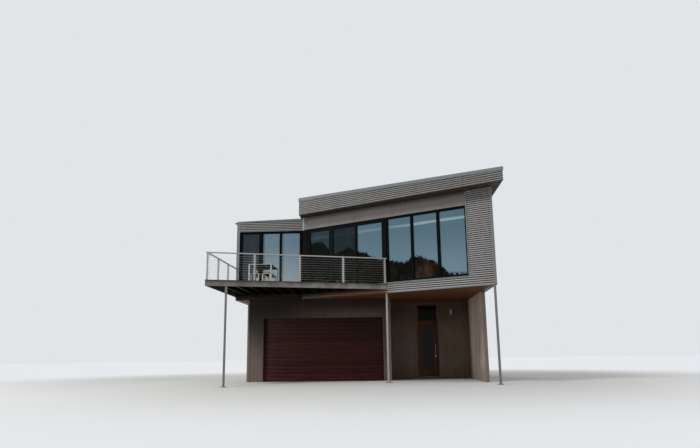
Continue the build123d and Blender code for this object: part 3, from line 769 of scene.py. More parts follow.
def under_planks(finish):
    """Painted shade on the planks' lower faces."""
    return 1 - finish.z.between(deck_level - 0.028, deck_level - 0.024)


def under_deck(finish):
    """Painted shade of the deck on the garage front: deepest high up and to the left."""
    width = garage_right - house_left
    over_door = finish.x.between(house_left + width * 0.15, house_left + width * 0.7)
    shade = finish.z.between(0.2, 3.2) * (1 - over_door * 0.58)
    return shade + (1 - shade) * finish.z.between(2.65, 3.2) * 0.82


def under_eave(finish):
    """Painted shade under the eave, on the top of the band over the wing's windows."""
    return finish.z.between(head_level + (roof_level - head_level) * 0.56, roof_level) * 0.8


def porch_top(finish):
    """Painted shade on the porch's walls under its ceiling."""
    return finish.z.between(1.9, 3.1) * 0.45


def under_door_head(finish):
    """Painted shade on the garage door, darker towards its head."""
    return finish.z.between(0.5, 2.3) * 0.45 + finish.z.between(2.2, 2.55) * 0.3


def towards_heel(finish):
    """Painted shade on the wing's ledger boards, darker towards the heel."""
    return (1 - finish.along(wing).between(-1.2, wing.local(deck_end).x)) * 0.9


def rim_shade(finish):
    """Painted shade on the ledger behind the rim against the walls, the rim's top under the planks' edge,
    and its left part.
    """
    behind_front = finish.along(Side(deck_front.left, deck_front.left + deck_front.into))
    ledger = behind_front.between(0.06, 0.07) * (finish.x - rim_low.x).between(0.06, 0.07)
    upper = finish.z.between(rim_low.z + 0.04, rim_high.z) * 0.42
    length = deck_front.length
    left_part = (1 - finish.along(deck_front).between(length * 0.2, length * 0.9)) * 0.34
    return ledger + (1 - ledger) * (upper + (1 - upper) * left_part)


def up_wall(finish):
    """The place across the walls' ribs, in whole ribs."""
    return (finish.z - soffit_level) / rib_pitch


def up_roof(finish):
    """The place across the roofs' ribs, in whole ribs."""
    return finish.y / rib_pitch


finishes = {
    "concrete": cast_concrete("floated_concrete"),
    "grooved_boards": painted_boards("grooved_boards_paint", rgb(126, 115, 107), rgb(108, 96, 87),
                                     board_pitch),
    "door_timber": stained_timber("garage_door_timber", rgb(40, 16, 12), rgb(68, 31, 25), "x",
                                  garage_board, 0.12, under_door_head, 0.7),
    "entry_timber": stained_timber("entry_timber_oil", rgb(86, 40, 25), rgb(134, 72, 44), "z", 0.9),
    "glass": wing_glass(),
    "steel": brushed_steel("brushed_door_steel"),
    "lining_boards": sheet_lining("soffit_lining_stain", rgb(108, 66, 40), rgb(150, 99, 62),
                                  lining_board, wing),
    "floor_timber": stained_timber("floor_timber_raw", rgb(96, 74, 52), rgb(136, 108, 78), "x", 0.09),
    "corrugated_steel": corrugated_steel("wall_sheet_enamel", rgb(150, 149, 148), rgb(136, 130, 125),
                                         0.90, up_wall),
    "band_boards": painted_boards("band_sheet_paint", rgb(120, 117, 115), rgb(108, 104, 100),
                                  band_sheet_width, 0.3, under_eave),
    "dark_aluminium": dark_frames("window_frame_coat", 0.36),
    "roof_steel": corrugated_steel("roof_sheet_enamel", rgb(132, 131, 130), rgb(116, 112, 107),
                                   0.10, up_roof),
    "trim_steel": folded_steel("flashing_enamel", rgb(106, 111, 113)),
    "eave_boards": sheet_lining("eave_lining_stain", rgb(70, 55, 44), rgb(86, 69, 57),
                                eave_sheet_width, wing),
    "deck_timber": weathered_timber("deck_planks_grey", rgb(64, 60, 56), rgb(88, 84, 79), under_planks),
    # Near black: a dark stain, darkened further as painted shade under the deck
    "joist_timber": stained_timber("joist_stain_and_shade", rgb(11, 8, 6), rgb(21, 15, 12), "y", 0.3, 0.05),
    "rim_timber": weathered_timber("rim_board_grey", rgb(124, 120, 116), rgb(154, 151, 147), rim_shade),
    "galvanised_steel": galvanised("post_zinc", rgb(118, 116, 111)),
    "stainless_wire": wire_rope("cable_strand"),
    "white_metal": enamel_metal("furniture_enamel", rgb(172, 171, 167)),
    "slat_timber": stained_timber("slat_oil", rgb(64, 28, 19), rgb(102, 51, 36), "y", 0.087),
}
# Darker copies of the wall enamel: painted shade on the high fascia and on the left block's sheets
fascia_shaded_enamel = corrugated_steel("fascia_sheet_shaded_enamel", rgb(128, 127, 126), rgb(118, 113, 108), 0.90,
                                 up_wall)
left_shaded_enamel = corrugated_steel("left_sheet_shaded_enamel", rgb(138, 136, 135), rgb(126, 120, 115), 0.90, up_wall)
left_glass = left_block_glass()
left_screen_mesh = insect_mesh("left_screen_mesh", 0.38)
door_screen_meshes = [insect_mesh("first_door_screen_mesh", 0.30),
                      insect_mesh("second_door_screen_mesh", 0.42)]
seal_rubber = rubber("door_seal_rubber")
balustrade_metal = galvanised("balustrade_coat", rgb(160, 160, 156))
# Copies of the grooved boards' paint: darker, with painted shade from the deck, on the garage front;
# lighter, as painted light, on the fin; lighter, with painted shade at the top, in the porch
garage_shaded_paint = painted_boards("garage_boards_shaded_paint", rgb(106, 94, 86), rgb(92, 80, 71), board_pitch, 0.4,
                              under_deck)
fin_lit_paint = painted_boards("fin_boards_lit_paint", rgb(154, 140, 131), rgb(139, 123, 113), board_pitch, 1.1)
porch_lit_shaded_paint = painted_boards("porch_boards_lit_shaded_paint", rgb(160, 144, 130), rgb(139, 122, 106), board_pitch, 0.4,
                             porch_top)
# A lighter copy of the flashing enamel: painted light on the heel flashing
heel_lit_enamel = folded_steel("heel_flashing_lit_enamel", rgb(122, 127, 129))
jamb_paint = folded_steel("jamb_trim_enamel", rgb(112, 105, 99))
lamp_metal = lit_enamel("porch_light_enamel", rgb(190, 184, 182))
gutter_paint = folded_steel("gutter_enamel", rgb(48, 53, 56))
ledger_stain = stained_timber("ledger_stain", rgb(99, 61, 35), rgb(130, 86, 54), "x", 0.07, 0.15,
                              towards_heel)
batten_stain = stained_timber("ledger_batten_stain", rgb(162, 124, 82), rgb(196, 158, 112), "x", 0.07, 0.15,
                              towards_heel)
# A darker copy of the ledger stain: painted shade on the left block's ledger under the deck
shaded_ledger_stain = stained_timber("shaded_ledger_stain", rgb(34, 24, 18), rgb(52, 38, 29), "x", 0.07, 0.1)

# The finish of nodes that differ from the rest of their slot
own_finish = {
    "left_window_glass": left_glass,
    "side_window_glass": left_glass,
    "entry_leaf_glass": dark_glass("entry_glass_dark"),
    "wing_posts": dark_frames("post_panel_coat", 0.40, rgb(7, 5, 3)),
    "balustrade_posts": balustrade_metal,
    "front_rail": balustrade_metal,
    # A lighter copy of the balustrade zinc: painted light on the side rail
    "side_rail": galvanised("side_rail_lit_coat", rgb(222, 222, 218)),
}
for part in frame["record"]["subparts"]:
    materials = frame["nodes"][part["node"]].data.materials
    materials.clear()
    materials.append(own_finish.get(part["node"], finishes[part["material_slot"]]))


# Making and finishing pieces
def add_bar(bm, x0, x1, y0, y1, z0, z1):
    """A box between two corners."""
    place = (Matrix.Translation(((x0 + x1) / 2, (y0 + y1) / 2, (z0 + z1) / 2))
             @ Matrix.Diagonal((x1 - x0, y1 - y0, z1 - z0, 1)))
    bmesh.ops.create_cube(bm, size=1, matrix=place)


def add_rod(bm, radius, depth, place, segments=12):
    """A round bar about its own middle, placed by a matrix."""
    bmesh.ops.create_cone(bm, cap_ends=True, segments=segments, radius1=radius, radius2=radius,
                          depth=depth, matrix=place)


def add_prism(bm, plan, bottom, top):
    """An upright block on a plan; bottom and top are heights, or functions of a point."""
    low = bottom if callable(bottom) else lambda point: bottom
    high = top if callable(top) else lambda point: top
    verts = [bm.verts.new((point[0], point[1], low(point))) for point in plan]
    base = bmesh.ops.contextual_create(bm, geom=verts)["faces"]
    for part in bmesh.ops.extrude_face_region(bm, geom=base)["geom"]:
        if isinstance(part, bmesh.types.BMVert):
            part.co.z = high(part.co)


def straight_plan(side, x0, x1, y0, y1):
    """The plan of a bar with square ends, in a side's own axes."""
    return [side.point(x0, y0), side.point(x1, y0), side.point(x1, y1), side.point(x0, y1)]


def mitred_plan(side, before, after, outer, inner, length=None):
    """The plan of a bar along a side, between two depths, mitred against its neighbours."""
    plan = []
    for depth in (outer, inner):
        start = meet(before, depth, side, depth) if before else side.point(0, depth)
        end = meet(side, depth, after, depth) if after else side.point(length or side.length, depth)
        plan += [start, end] if depth == outer else [end, start]
    return plan


def add_band(bm, sides, outer, inner, bottom, top, closed=True):
    """Mitred bars along neighbouring sides, between two depths and two heights."""
    for i, side in enumerate(sides):
        before = sides[i - 1] if closed or i else None
        after = sides[(i + 1) % len(sides)] if closed or i < len(sides) - 1 else None
        add_prism(bm, mitred_plan(side, before, after, outer, inner), bottom, top)


def add_ring(bm, x0, x1, z0, z1, width, y0, y1):
    """A flat frame: its outer edge is the given rectangle."""
    add_bar(bm, x0, x0 + width, y0, y1, z0, z1)
    add_bar(bm, x1 - width, x1, y0, y1, z0, z1)
    add_bar(bm, x0 + width, x1 - width, y0, y1, z1 - width, z1)
    add_bar(bm, x0 + width, x1 - width, y0, y1, z0, z0 + width)


def everything(bm):
    """All parts of a bmesh, as its operators take them."""
    return bm.verts[:] + bm.edges[:] + bm.faces[:]


def keep_inside(bm, planes, fill=False):
    """Cut off all that lies outside each plane, given as a point and its outward direction."""
    for point, outward in planes:
        cut = bmesh.ops.bisect_plane(bm, geom=everything(bm), dist=1e-6, plane_co=point,
                                     plane_no=outward, clear_outer=True)["geom_cut"]
        if fill:
            edges = [part for part in cut if isinstance(part, bmesh.types.BMEdge)]
            bmesh.ops.holes_fill(bm, edges=edges, sides=0)


def cut_holes(bm, holes):
    """Cut upright rectangles (x0, x1, z0, z1) out of a sheet in a side's own axes."""
    for x0, x1, z0, z1 in holes:
        for point, normal in (((x0, 0, 0), (1, 0, 0)), ((x1, 0, 0), (1, 0, 0)),
                              ((0, 0, z0), (0, 0, 1)), ((0, 0, z1), (0, 0, 1))):
            bmesh.ops.bisect_plane(bm, geom=everything(bm), dist=1e-6, plane_co=point, plane_no=normal)
        inside = []
        for face in bm.faces:
            middle = face.calc_center_median()
            if x0 < middle.x < x1 and z0 < middle.z < z1:
                inside.append(face)
        bmesh.ops.delete(bm, geom=inside, context="FACES")


def join(bm, other):
    """Add another bmesh's mesh to this one."""
    mesh = bpy.data.meshes.new("joined")
    other.to_mesh(mesh)
    other.free()
    bm.from_mesh(mesh)
    bpy.data.meshes.remove(mesh)


# One rib and one board, as (distance, height) points
wave = [(rib_pitch * i / rib_steps, rib_depth * (1 - math.cos(2 * math.pi * i / rib_steps)) / 2)
        for i in range(rib_steps)]
grooved = [(0, board_proud), (board_pitch - board_groove - groove_bevel, board_proud),
           (board_pitch - board_groove, board_proud - board_groove_depth),
           (board_pitch - groove_bevel, board_proud - board_groove_depth)]


def add_ribbed(bm, profile, pitch, along, across, upright=False):
    """A sheet from the origin: its ribs run along x and stack up z, or the other way if upright.
    The profile lists (distance, height) points of one rib, and height stands out towards -y."""
    count = math.ceil(across / pitch)
    rows = count * len(profile)
    verts = bmesh.ops.create_grid(bm, x_segments=1, y_segments=rows, size=0.5)["verts"]
    for vert in verts:
        turns, step = divmod(round((vert.co.y + 0.5) * rows), len(profile))
        distance = turns * pitch + profile[step][0]
        end = (vert.co.x + 0.5) * along
        height = profile[step][1]
        vert.co = (distance, -height, end) if upright else (end, -height, distance)
    bm.normal_update()
    bmesh.ops.recalc_face_normals(bm, faces=bm.faces[:])
    if bm.faces and bm.faces[0].normal.y > 0:
        bmesh.ops.reverse_faces(bm, faces=bm.faces[:])


def thicken(bm, thickness):
    """Give a sheet its thickness, behind the face that shows."""
    bm.normal_update()
    bmesh.ops.solidify(bm, geom=everything(bm), thickness=thickness)


def soften(bm, offset, segments=1):
    """Bevel every sharp edge of the bmesh."""
    bm.normal_update()
    sharp = [edge for edge in bm.edges if edge.is_manifold and edge.calc_face_angle() > sharp_edge]
    bmesh.ops.bevel(bm, geom=sharp, offset=offset, segments=segments, profile=0.5,
                    affect="EDGES", material=-1)


def finish_piece(bm, name, slot, material=None, side=None, body="house", smooth=35, replaced=()):
    """Make the bmesh a piece of the house: placed, smoothed, painted and riding on its body."""
    if side:
        bm.transform(side.place)
    bm.normal_update()
    bmesh.ops.recalc_face_normals(bm, faces=bm.faces[:])
    mesh = bpy.data.meshes.new(name)
    bm.to_mesh(mesh)
    bm.free()
    mesh.shade_smooth()
    mesh.set_sharp_from_angle(angle=math.radians(smooth))
    mesh.materials.append(material or finishes[slot])
    piece = bpy.data.objects.new(name, mesh)
    bpy.context.scene.collection.objects.link(piece)
    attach(piece, body)
    if replaced:
        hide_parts(*replaced)


def bar_piece(name, slot, bars, bevel=0, segments=1, **options):
    """A piece of plain bars, each (x0, x1, y0, y1, z0, z1); the options are those of finish_piece."""
    bm = bmesh.new()
    for bar in bars:
        add_bar(bm, *bar)
    if bevel:
        soften(bm, bevel, segments)
    finish_piece(bm, name, slot, **options)


def window_holes(side, bottom, top):
    """The openings of a plain wall's windows, as (x0, x1, z0, z1)."""
    boxes = on_side("side_window_frames", side, bottom, top)
    return [(low.x, high.x, low.z, high.z) for low, high in boxes]


def wall_sheets(name, side, holes, top, slope=(), material=None):
    """Corrugated cladding over a side of the upper storey, with its holes cut and its top trimmed."""
    bm = bmesh.new()
    add_ribbed(bm, wave, rib_pitch, side.length, top - soffit_level)
    bmesh.ops.translate(bm, verts=bm.verts[:], vec=(0, -sheet_gap, soffit_level))
    keep_inside(bm, [((0, 0, top), (0, 0, 1)), *slope])
    cut_holes(bm, holes)
    thicken(bm, sheet_thickness)
    finish_piece(bm, name, "corrugated_steel", material, side=side, smooth=40)


def wall_boards(name, side, holes, material=None):
    """Upright grooved boards over a side of the ground floor."""
    bm = bmesh.new()
    add_ribbed(bm, grooved, board_pitch, soffit_level - ground_gap, side.length, upright=True)
    bmesh.ops.translate(bm, verts=bm.verts[:], vec=(0, 0, ground_gap))
    keep_inside(bm, [((side.length, 0, 0), (1, 0, 0))])
    cut_holes(bm, holes)
    thicken(bm, board_proud / 2)
    finish_piece(bm, name, "grooved_boards", material, side=side, smooth=20)


# Where the parts of the upper storey meet, in the wing's and the left block's own axes
windows_end = extent(solids("wing_head_band")[0], wing)[1].x
post_boxes = on_side("wing_posts", wing)
door_panes, window_panes = [], []
for box in on_side("wing_glass", wing):
    (window_panes if box[0].x > post_boxes[-1][1].x else door_panes).append(box)
left_panes = on_side("left_window_glass", left_front)
left_pier = on_side("left_window_frame", left_front)[0][0].x
frame_face = on_side("wing_window_frame", wing)[0][0].y
deck_end_x = wing.local(deck_end).x
deck_bottom = rim_low.z
rib_out = rib_depth + sheet_gap
trim_out = rib_out + trim_thickness
beyond = 1                   # how far a hole runs past the end of a sheet that it takes away


# Cladding of the upper storey
def falling_plane(side, top):
    """A plane through a falling top edge, in the side's own axes, for keep_inside."""
    start = top(side.left.x)
    fall = (top(side.right.x) - start) / side.length
    return (0, 0, start), (-fall, 0, 1)


def upper_holes(side):
    """The upper storey's window openings in a side."""
    return window_holes(side, soffit_level, roof_level)


back_step = tip[0] - heel[0]
wall_sheets("wing_cladding", wing,
            [(-beyond, windows_end, sill_level, roof_level + beyond),
             (-beyond, deck_end_x, 0, deck_level)], roof_level)
wall_sheets("left_block_cladding", left_front,
            [(left_pier, left_front.length + beyond, sill_level, head_level),
             (-beyond, left_front.length + beyond, 0, deck_level)],
            roof_level, [falling_plane(left_front, low_roof_top)], left_shaded_enamel)
wall_sheets("right_cladding", right_upper, upper_holes(right_upper), roof_level)
wall_sheets("left_cladding", left_upper, upper_holes(left_upper), low_roof_top(low_left.x) - gutter_drop)
wall_sheets("back_cladding_high", back_upper, upper_holes(back_upper), roof_level,
            [((back_step, 0, 0), (1, 0, 0))])
wall_sheets("back_cladding_low", back_upper, upper_holes(back_upper), roof_level,
            [((back_step, 0, 0), (-1, 0, 0)), falling_plane(back_upper, low_roof_top)])

# Grooved boards of the ground floor
garage_low, garage_high = extent(solids("garage_door")[0], garage_front)
entry_low, entry_high = extent(solids("entry_frame")[0], entry_side)
for name, side, holes, paint in (
        ("garage_front_boards", garage_front, [(garage_low.x, garage_high.x, -beyond, garage_high.z)],
         garage_shaded_paint),
        ("porch_side_boards", porch_side, [], porch_lit_shaded_paint),
        ("entry_side_boards", entry_side, [(entry_low.x, entry_high.x, -beyond, entry_high.z)],
         porch_lit_shaded_paint),
        ("fin_inner_boards", fin_inner, [], fin_lit_paint),
        ("fin_end_boards", fin_end, [], None),
        ("right_lower_boards", right_lower, window_holes(right_lower, 0, soffit_level), None),
        ("back_lower_boards", back_lower, window_holes(back_lower, 0, soffit_level), None),
        ("left_lower_boards", left_lower, window_holes(left_lower, 0, soffit_level), None)):
    wall_boards(name, side, holes, paint)


# Flashings and corner strips
def add_corner(bm, first, second, outer, leg, bottom, top):
    """A folded corner strip where the right end of one side meets the left end of the next."""
    inner = outer + trim_thickness
    ring = [meet(first, outer, second, outer), second.point(leg, outer), second.point(leg, inner),
            meet(first, inner, second, inner), first.point(first.length - leg, inner),
            first.point(first.length - leg, outer)]
    add_prism(bm, ring, bottom, top)


def corner_strips():
    """Corner strips of both storeys."""
    left_top = low_roof_top(low_left.x) - 0.005
    upper = ((left_upper, left_front, left_corner_leg, left_top),
             (wing, right_upper, corner_leg, roof_level),
             (right_upper, back_upper, corner_leg, roof_level),
             (back_upper, left_upper, corner_leg, left_top - 0.115))
    lower = ((left_lower, garage_front), (garage_front, porch_side), (fin_inner, fin_end),
             (fin_end, right_lower), (right_lower, back_lower), (back_lower, left_lower))
    bm = bmesh.new()
    for first, second, leg, top in upper:
        add_corner(bm, first, second, -trim_out, leg, soffit_level, top)
    finish_piece(bm, "upper_corner_strips", "trim_steel")
    bm = bmesh.new()
    outer = -board_proud - trim_thickness
    for first, second in lower:
        add_corner(bm, first, second, outer, lower_corner_leg, ground_gap, soffit_level)
    finish_piece(bm, "lower_corner_strips", "trim_steel", jamb_paint)


def foot_strips():
    """The closer along the bottom edge of the upper cladding."""
    bm = bmesh.new()
    sides = [Side(wing.point(deck_end_x), wing.right), right_upper, back_upper, left_upper]
    for inner, height in ((-trim_out + trim_thickness, foot_trim), (0, trim_thickness)):
        add_band(bm, sides, -trim_out, inner, soffit_level, soffit_level + height, False)
    finish_piece(bm, "upper_foot_flashing", "trim_steel")


def ledger_boards():
    """Two stained boards under the deck's ledger on each wall, with a bead along the lower one,
    and a pale batten over the joint on the wing."""
    middle = (soffit_level + deck_bottom) / 2
    rows = ((-ledger_proud, middle + ledger_joint / 2, deck_bottom),
            (-ledger_proud, soffit_level + 0.012, middle - ledger_joint / 2),
            (-ledger_proud - 0.012, soffit_level - 0.004, soffit_level + 0.010))
    for name, side, before, after, stain in (
            ("left_ledger_boards", left_front, None, wing, shaded_ledger_stain),
            ("wing_ledger_boards", wing, left_front, None, ledger_stain)):
        bm = bmesh.new()
        for outer, bottom, top in rows:
            add_prism(bm, mitred_plan(side, before, after, outer, 0, deck_end_x), bottom, top)
        soften(bm, fine_bevel)
        finish_piece(bm, name, "lining_boards", stain)
    batten = (0.05, deck_end_x, -0.036, -0.020, middle - 0.031, middle - 0.009)
    bar_piece("wing_ledger_batten", "lining_boards", [batten], fine_bevel, material=batten_stain,
              side=wing)


def heel_flashing():
    """Upright flashings over the wing's heel, above the windows, and at the left block's end."""
    foot = head_level - 0.01
    bar_piece("wing_heel_flashing", "trim_steel",
              [(0.0, 0.10, -0.020, 0.0, foot, roof_level), (0.165, 0.195, -0.018, 0.0, foot, roof_level)],
              round_bevel, material=heel_lit_enamel, side=wing)
    end, top = left_front.length, low_roof_top(heel[0])
    bar_piece("left_block_end_flashing", "trim_steel",
              [(end - 0.035, end, -trim_out, 0.0, head_level, top - 0.004),
               (end - 0.20, end + 0.02, -trim_out - 0.014, -trim_out + 0.002, top - 0.055, top + 0.012)],
              side=left_front)


def sill_flashings():
    """Folded sills under the front windows and doors, a drip over the left block's, and the
    strip where the end wall's sheets begin."""
    nose = -trim_out - sill_nose
    for name, side, start, end in (("wing_sill", wing, post_boxes[0][1].x, windows_end),
                                   ("left_sill", left_front, left_pier, left_panes[-1][1].x + 0.07)):
        bar_piece(name, "trim_steel",
                  [(start, end, nose, frame_face, sill_level - 0.004, sill_level),
                   (start, end, nose, nose + trim_thickness, sill_level - sill_drop, sill_level)],
                  side=side)
    lip = -trim_out - drip_lip
    start, end = left_pier, left_front.length
    bar_piece("left_head_drip", "trim_steel",
              [(start, end, lip, frame_face, head_level - trim_thickness, head_level),
               (start, end, lip, lip + trim_thickness, head_level - 0.018, head_level + 0.012)],
              side=left_front)
    strip = (windows_end, windows_end + window_trim, -trim_out, 0, sill_level, roof_level)
    bar_piece("end_wall_edge_strip", "trim_steel", [strip], side=wing)


def head_band_sheets():
    """Flat sheets over the wing's windows, butted with narrow joints, and the drip under them."""
    count = round((windows_end - band_start) / band_sheet_width)
    width = (windows_end - band_start) / count
    sheets = [(band_start + i * width + band_joint / 2, band_start + (i + 1) * width - band_joint / 2,
               -band_sheet_thickness, 0, head_level + 0.006, roof_level) for i in range(count)]
    bar_piece("head_band_sheets", "band_boards", sheets, 0.0015, side=wing)
    drip = (0.1, windows_end, -0.024, 0.03, head_level - 0.004, head_level + 0.004)
    bar_piece("wing_head_drip", "dark_aluminium", [drip], side=wing)


corner_strips()
foot_strips()
ledger_boards()
heel_flashing()
sill_flashings()
head_band_sheets()

# High roof: clad fascia, capping, sheeting and its gutter
fascia_thickness = roof_sides[1].local(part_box("high_roof_sheet")[1]).y
cap_low, cap_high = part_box("high_roof_cap")
cap_proud = cap_high.x - fascia_high.x
cap_height = fascia_top(fascia_high.x) - cap_low.z


def roof_cladding():
    """Corrugated sheets round the high fascia, mitred at its corners, on a flat core."""
    bm = bmesh.new()
    for i, side in enumerate(roof_sides):
        before, after = roof_sides[i - 1], roof_sides[(i + 1) % 4]
        sheet = bmesh.new()
        add_ribbed(sheet, wave, rib_pitch, side.length, 1.0)
        bmesh.ops.translate(sheet, verts=sheet.verts[:], vec=(0, rib_depth, roof_level))
        corner_in = side.local(meet(before, 1, side, 1))
        corner_out = side.local(meet(side, 1, after, 1))
        keep_inside(sheet, [((0, 0, 0), (-1, corner_in.x, 0)),
                            ((side.length, 0, 0), (1, side.length - corner_out.x, 0)),
                            falling_plane(side, fascia_top)])
        thicken(sheet, sheet_thickness)
        sheet.transform(side.place)
        join(bm, sheet)
    add_band(bm, roof_sides, rib_depth + 0.004, fascia_thickness, roof_level, raised(fascia_top, -0.004))
    finish_piece(bm, "high_fascia_cladding", "corrugated_steel", fascia_shaded_enamel, smooth=40,
                 replaced=["high_roof_fascia"])


def roof_capping():
    """Folded capping: a drip outside, a flat top and a leg inside the parapet, with straps
    over its joints."""
    outer = -cap_proud + 0.001
    inner = fascia_thickness + 0.008
    foot, top = raised(fascia_top, -cap_height), raised(fascia_top, cap_proud - 0.001)
    bm = bmesh.new()
    add_band(bm, roof_sides, outer, outer + trim_thickness, foot, top)
    add_band(bm, roof_sides, outer + trim_thickness, inner, raised(fascia_top, cap_proud - 0.004), top)
    add_band(bm, roof_sides, inner, inner + trim_thickness, foot, top)
    finish_piece(bm, "high_roof_capping", "trim_steel", replaced=["high_roof_cap"])
    bm = bmesh.new()
    for side in roof_sides:
        count = round(side.length / cap_length)
        for i in range(1, count):
            x = side.length * i / count
            plan = straight_plan(side, x - strap_half, x + strap_half, -cap_proud, strap_reach)
            add_prism(bm, plan, raised(fascia_top, -cap_height + 0.002), raised(fascia_top, cap_proud))
    finish_piece(bm, "capping_joint_straps", "trim_steel")


def sheeting(name, planes, origin, size, surface, replaced=()):
    """Ribbed roof sheets that run with the fall, along x, cut to a plan; their crests lie on
    the surface."""
    bm = bmesh.new()
    add_ribbed(bm, wave, rib_pitch, size[0], size[1])
    for vert in bm.verts:
        x, height, y = origin[0] + vert.co.x, -vert.co.y, origin[1] + vert.co.z
        vert.co = (x, y, surface(x) - rib_depth + height)
    keep_inside(bm, planes)
    thicken(bm, sheet_thickness)
    finish_piece(bm, name, "roof_steel", smooth=40, replaced=replaced)


def high_roof():
    """The sheets inside the parapet, and the box gutter along their low end."""
    low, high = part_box("high_roof_sheet")
    planes = [(side.point(0, fascia_thickness), -side.into) for side in roof_sides]
    size = (high.x - low.x - box_gutter_width + 0.04, high.y - low.y)
    sheeting("high_roof_sheeting", planes, (low.x, low.y), size, sheet_top, ["high_roof_sheet"])
    front, left = low.y + 0.12, high.x - box_gutter_width
    base = sheet_top(high.x) - 0.09
    bar_piece("high_roof_box_gutter", "roof_steel",
              [(left, high.x, front, high.y, base, base + gutter_wall),
               (left, left + gutter_wall, front, high.y, base, base + 0.06),
               (high.x - gutter_wall, high.x, front, high.y, base, base + 0.08)])


roof_cladding()
roof_capping()
high_roof()

# Low roof: sheets, edge flashings, gutter and downpipe
gutter_low, gutter_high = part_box("low_roof_gutter")


def low_roof():
    """The left block's roof sheets, the capping on its two sloping edges, and the flashing
    that turns up against the high roof."""
    plan_low = (low_left.x - 0.05, front_y + 0.03)
    plan_size = (heel[0] - 0.15 - plan_low[0], back_y - front_y - 0.06)
    sheeting("low_roof_sheeting", [], plan_low, plan_size, lambda x: low_roof_top(x) + rib_depth + 0.002)
    bm = bmesh.new()
    outer, inner = -trim_out - 0.008, 0.10
    for side, first, last in ((left_front, 0, left_front.length - 0.02),
                              (back_upper, back_step + 0.10, back_upper.length)):
        for back, foot in ((outer + trim_thickness, -0.032), (inner, barge_lift - trim_thickness)):
            plan = straight_plan(side, first, last, outer, back)
            add_prism(bm, plan, raised(low_roof_top, foot), raised(low_roof_top, barge_lift))
    finish_piece(bm, "low_roof_barge_capping", "trim_steel")
    step = heel[0] - 0.155
    low, front, back = low_roof_top(step) + 0.020, front_y + 0.05, back_y - 0.05
    bar_piece("low_roof_step_flashing", "trim_steel",
              [(step - 0.12, step + 0.02, front, back, low, low + trim_thickness),
               (step + 0.017, step + 0.02, front, back, low, roof_level + 0.02)])


def low_gutter():
    """Half-round gutter with stop ends, in the place of the plain channel."""
    bm = bmesh.new()
    radius = (gutter_high.x - gutter_low.x) / 2
    x, z = (gutter_low.x + gutter_high.x) / 2, gutter_high.z - 0.01
    rim = [bm.verts.new((x - radius, gutter_low.y, z))]
    bmesh.ops.spin(bm, geom=rim, cent=(x, gutter_low.y, z), axis=(0, -1, 0), dvec=(0, 0, 0), angle=math.pi,
                   steps=16, use_merge=False, use_normal_flip=False, use_duplicate=False)
    drawn = bmesh.ops.extrude_edge_only(bm, edges=bm.edges[:])["geom"]
    far = [part for part in drawn if isinstance(part, bmesh.types.BMVert)]
    bmesh.ops.translate(bm, verts=far, vec=(0, gutter_high.y - gutter_low.y, 0))
    bmesh.ops.solidify(bm, geom=bm.faces[:], thickness=gutter_wall)
    for y in (gutter_low.y, gutter_high.y - gutter_wall):
        end = bmesh.new()
        add_rod(end, radius, gutter_wall, Matrix.Translation((x, y + gutter_wall / 2, z)) @ lying, 32)
        keep_inside(end, [((0, 0, z), (0, 0, 1))], fill=True)
        join(bm, end)
    finish_piece(bm, "low_gutter", "roof_steel", gutter_paint, replaced=["low_roof_gutter"])


def gutter_brackets():
    """Straps over the low gutter and down behind it."""
    length = gutter_high.y - gutter_low.y
    count = round(length / bracket_spacing)
    top = gutter_high.z - 0.004
    bars = []
    for i in range(count):
        y = gutter_low.y + (i + 0.5) * length / count
        front, back = y - bracket_half, y + bracket_half
        bars += [(gutter_low.x + 0.002, gutter_high.x, front, back, top - 0.004, top),
                 (gutter_high.x - 0.018, gutter_high.x - 0.012, front, back, top - 0.066, top)]
    bar_piece("gutter_brackets", "roof_steel", bars, material=gutter_paint)


def add_pipe(bm, points, radius):
    """A round pipe along straight runs with short bends."""
    curve = bpy.data.curves.new("pipe", "CURVE")
    curve.dimensions = "3D"
    curve.bevel_depth = radius
    curve.bevel_resolution = 3
    curve.use_fill_caps = True
    line = curve.splines.new("POLY")
    line.points.add(len(points) - 1)
    for point, place in zip(line.points, points):
        point.co = (*place, 1)
    holder = bpy.data.objects.new("pipe", curve)
    mesh = bpy.data.meshes.new_from_object(holder)
    bm.from_mesh(mesh)
    bmesh.ops.remove_doubles(bm, verts=bm.verts[:], dist=0.0001)
    bpy.data.meshes.remove(mesh)
    bpy.data.objects.remove(holder)
    bpy.data.curves.remove(curve)


def downpipe():
    """A round pipe from the low gutter down the upper wall, back under the overhang and to the
    ground, with straps to the walls."""
    x, y, top = gutter_low.x + 0.06, back_y - 0.35, gutter_low.z + 0.04
    upper_x, lower_x = low_left.x - pipe_from_wall, house_left - pipe_from_wall
    bm = bmesh.new()
    places = [(x, top), (x, top - 0.08), (upper_x, top - 0.26), (upper_x, soffit_level + 0.02),
              (upper_x, soffit_level - 0.10), (lower_x, soffit_level - 0.30), (lower_x, 0.14),
              (lower_x, 0.02)]
    add_pipe(bm, [(place[0], y, place[1]) for place in places], pipe_radius)
    for z in (top - 0.9, soffit_level + 0.5, soffit_level - 0.7, 1.4, 0.35):
        pipe_x, wall_x = (upper_x, low_left.x) if z > soffit_level else (lower_x, house_left)
        add_rod(bm, pipe_radius + 0.004, 0.03, Matrix.Translation((pipe_x, y, z)), 20)
        add_bar(bm, pipe_x, wall_x, y - 0.008, y + 0.008, z - 0.012, z + 0.012)
    finish_piece(bm, "left_downpipe", "roof_steel", gutter_paint)


low_roof()
low_gutter()
gutter_brackets()
downpipe()


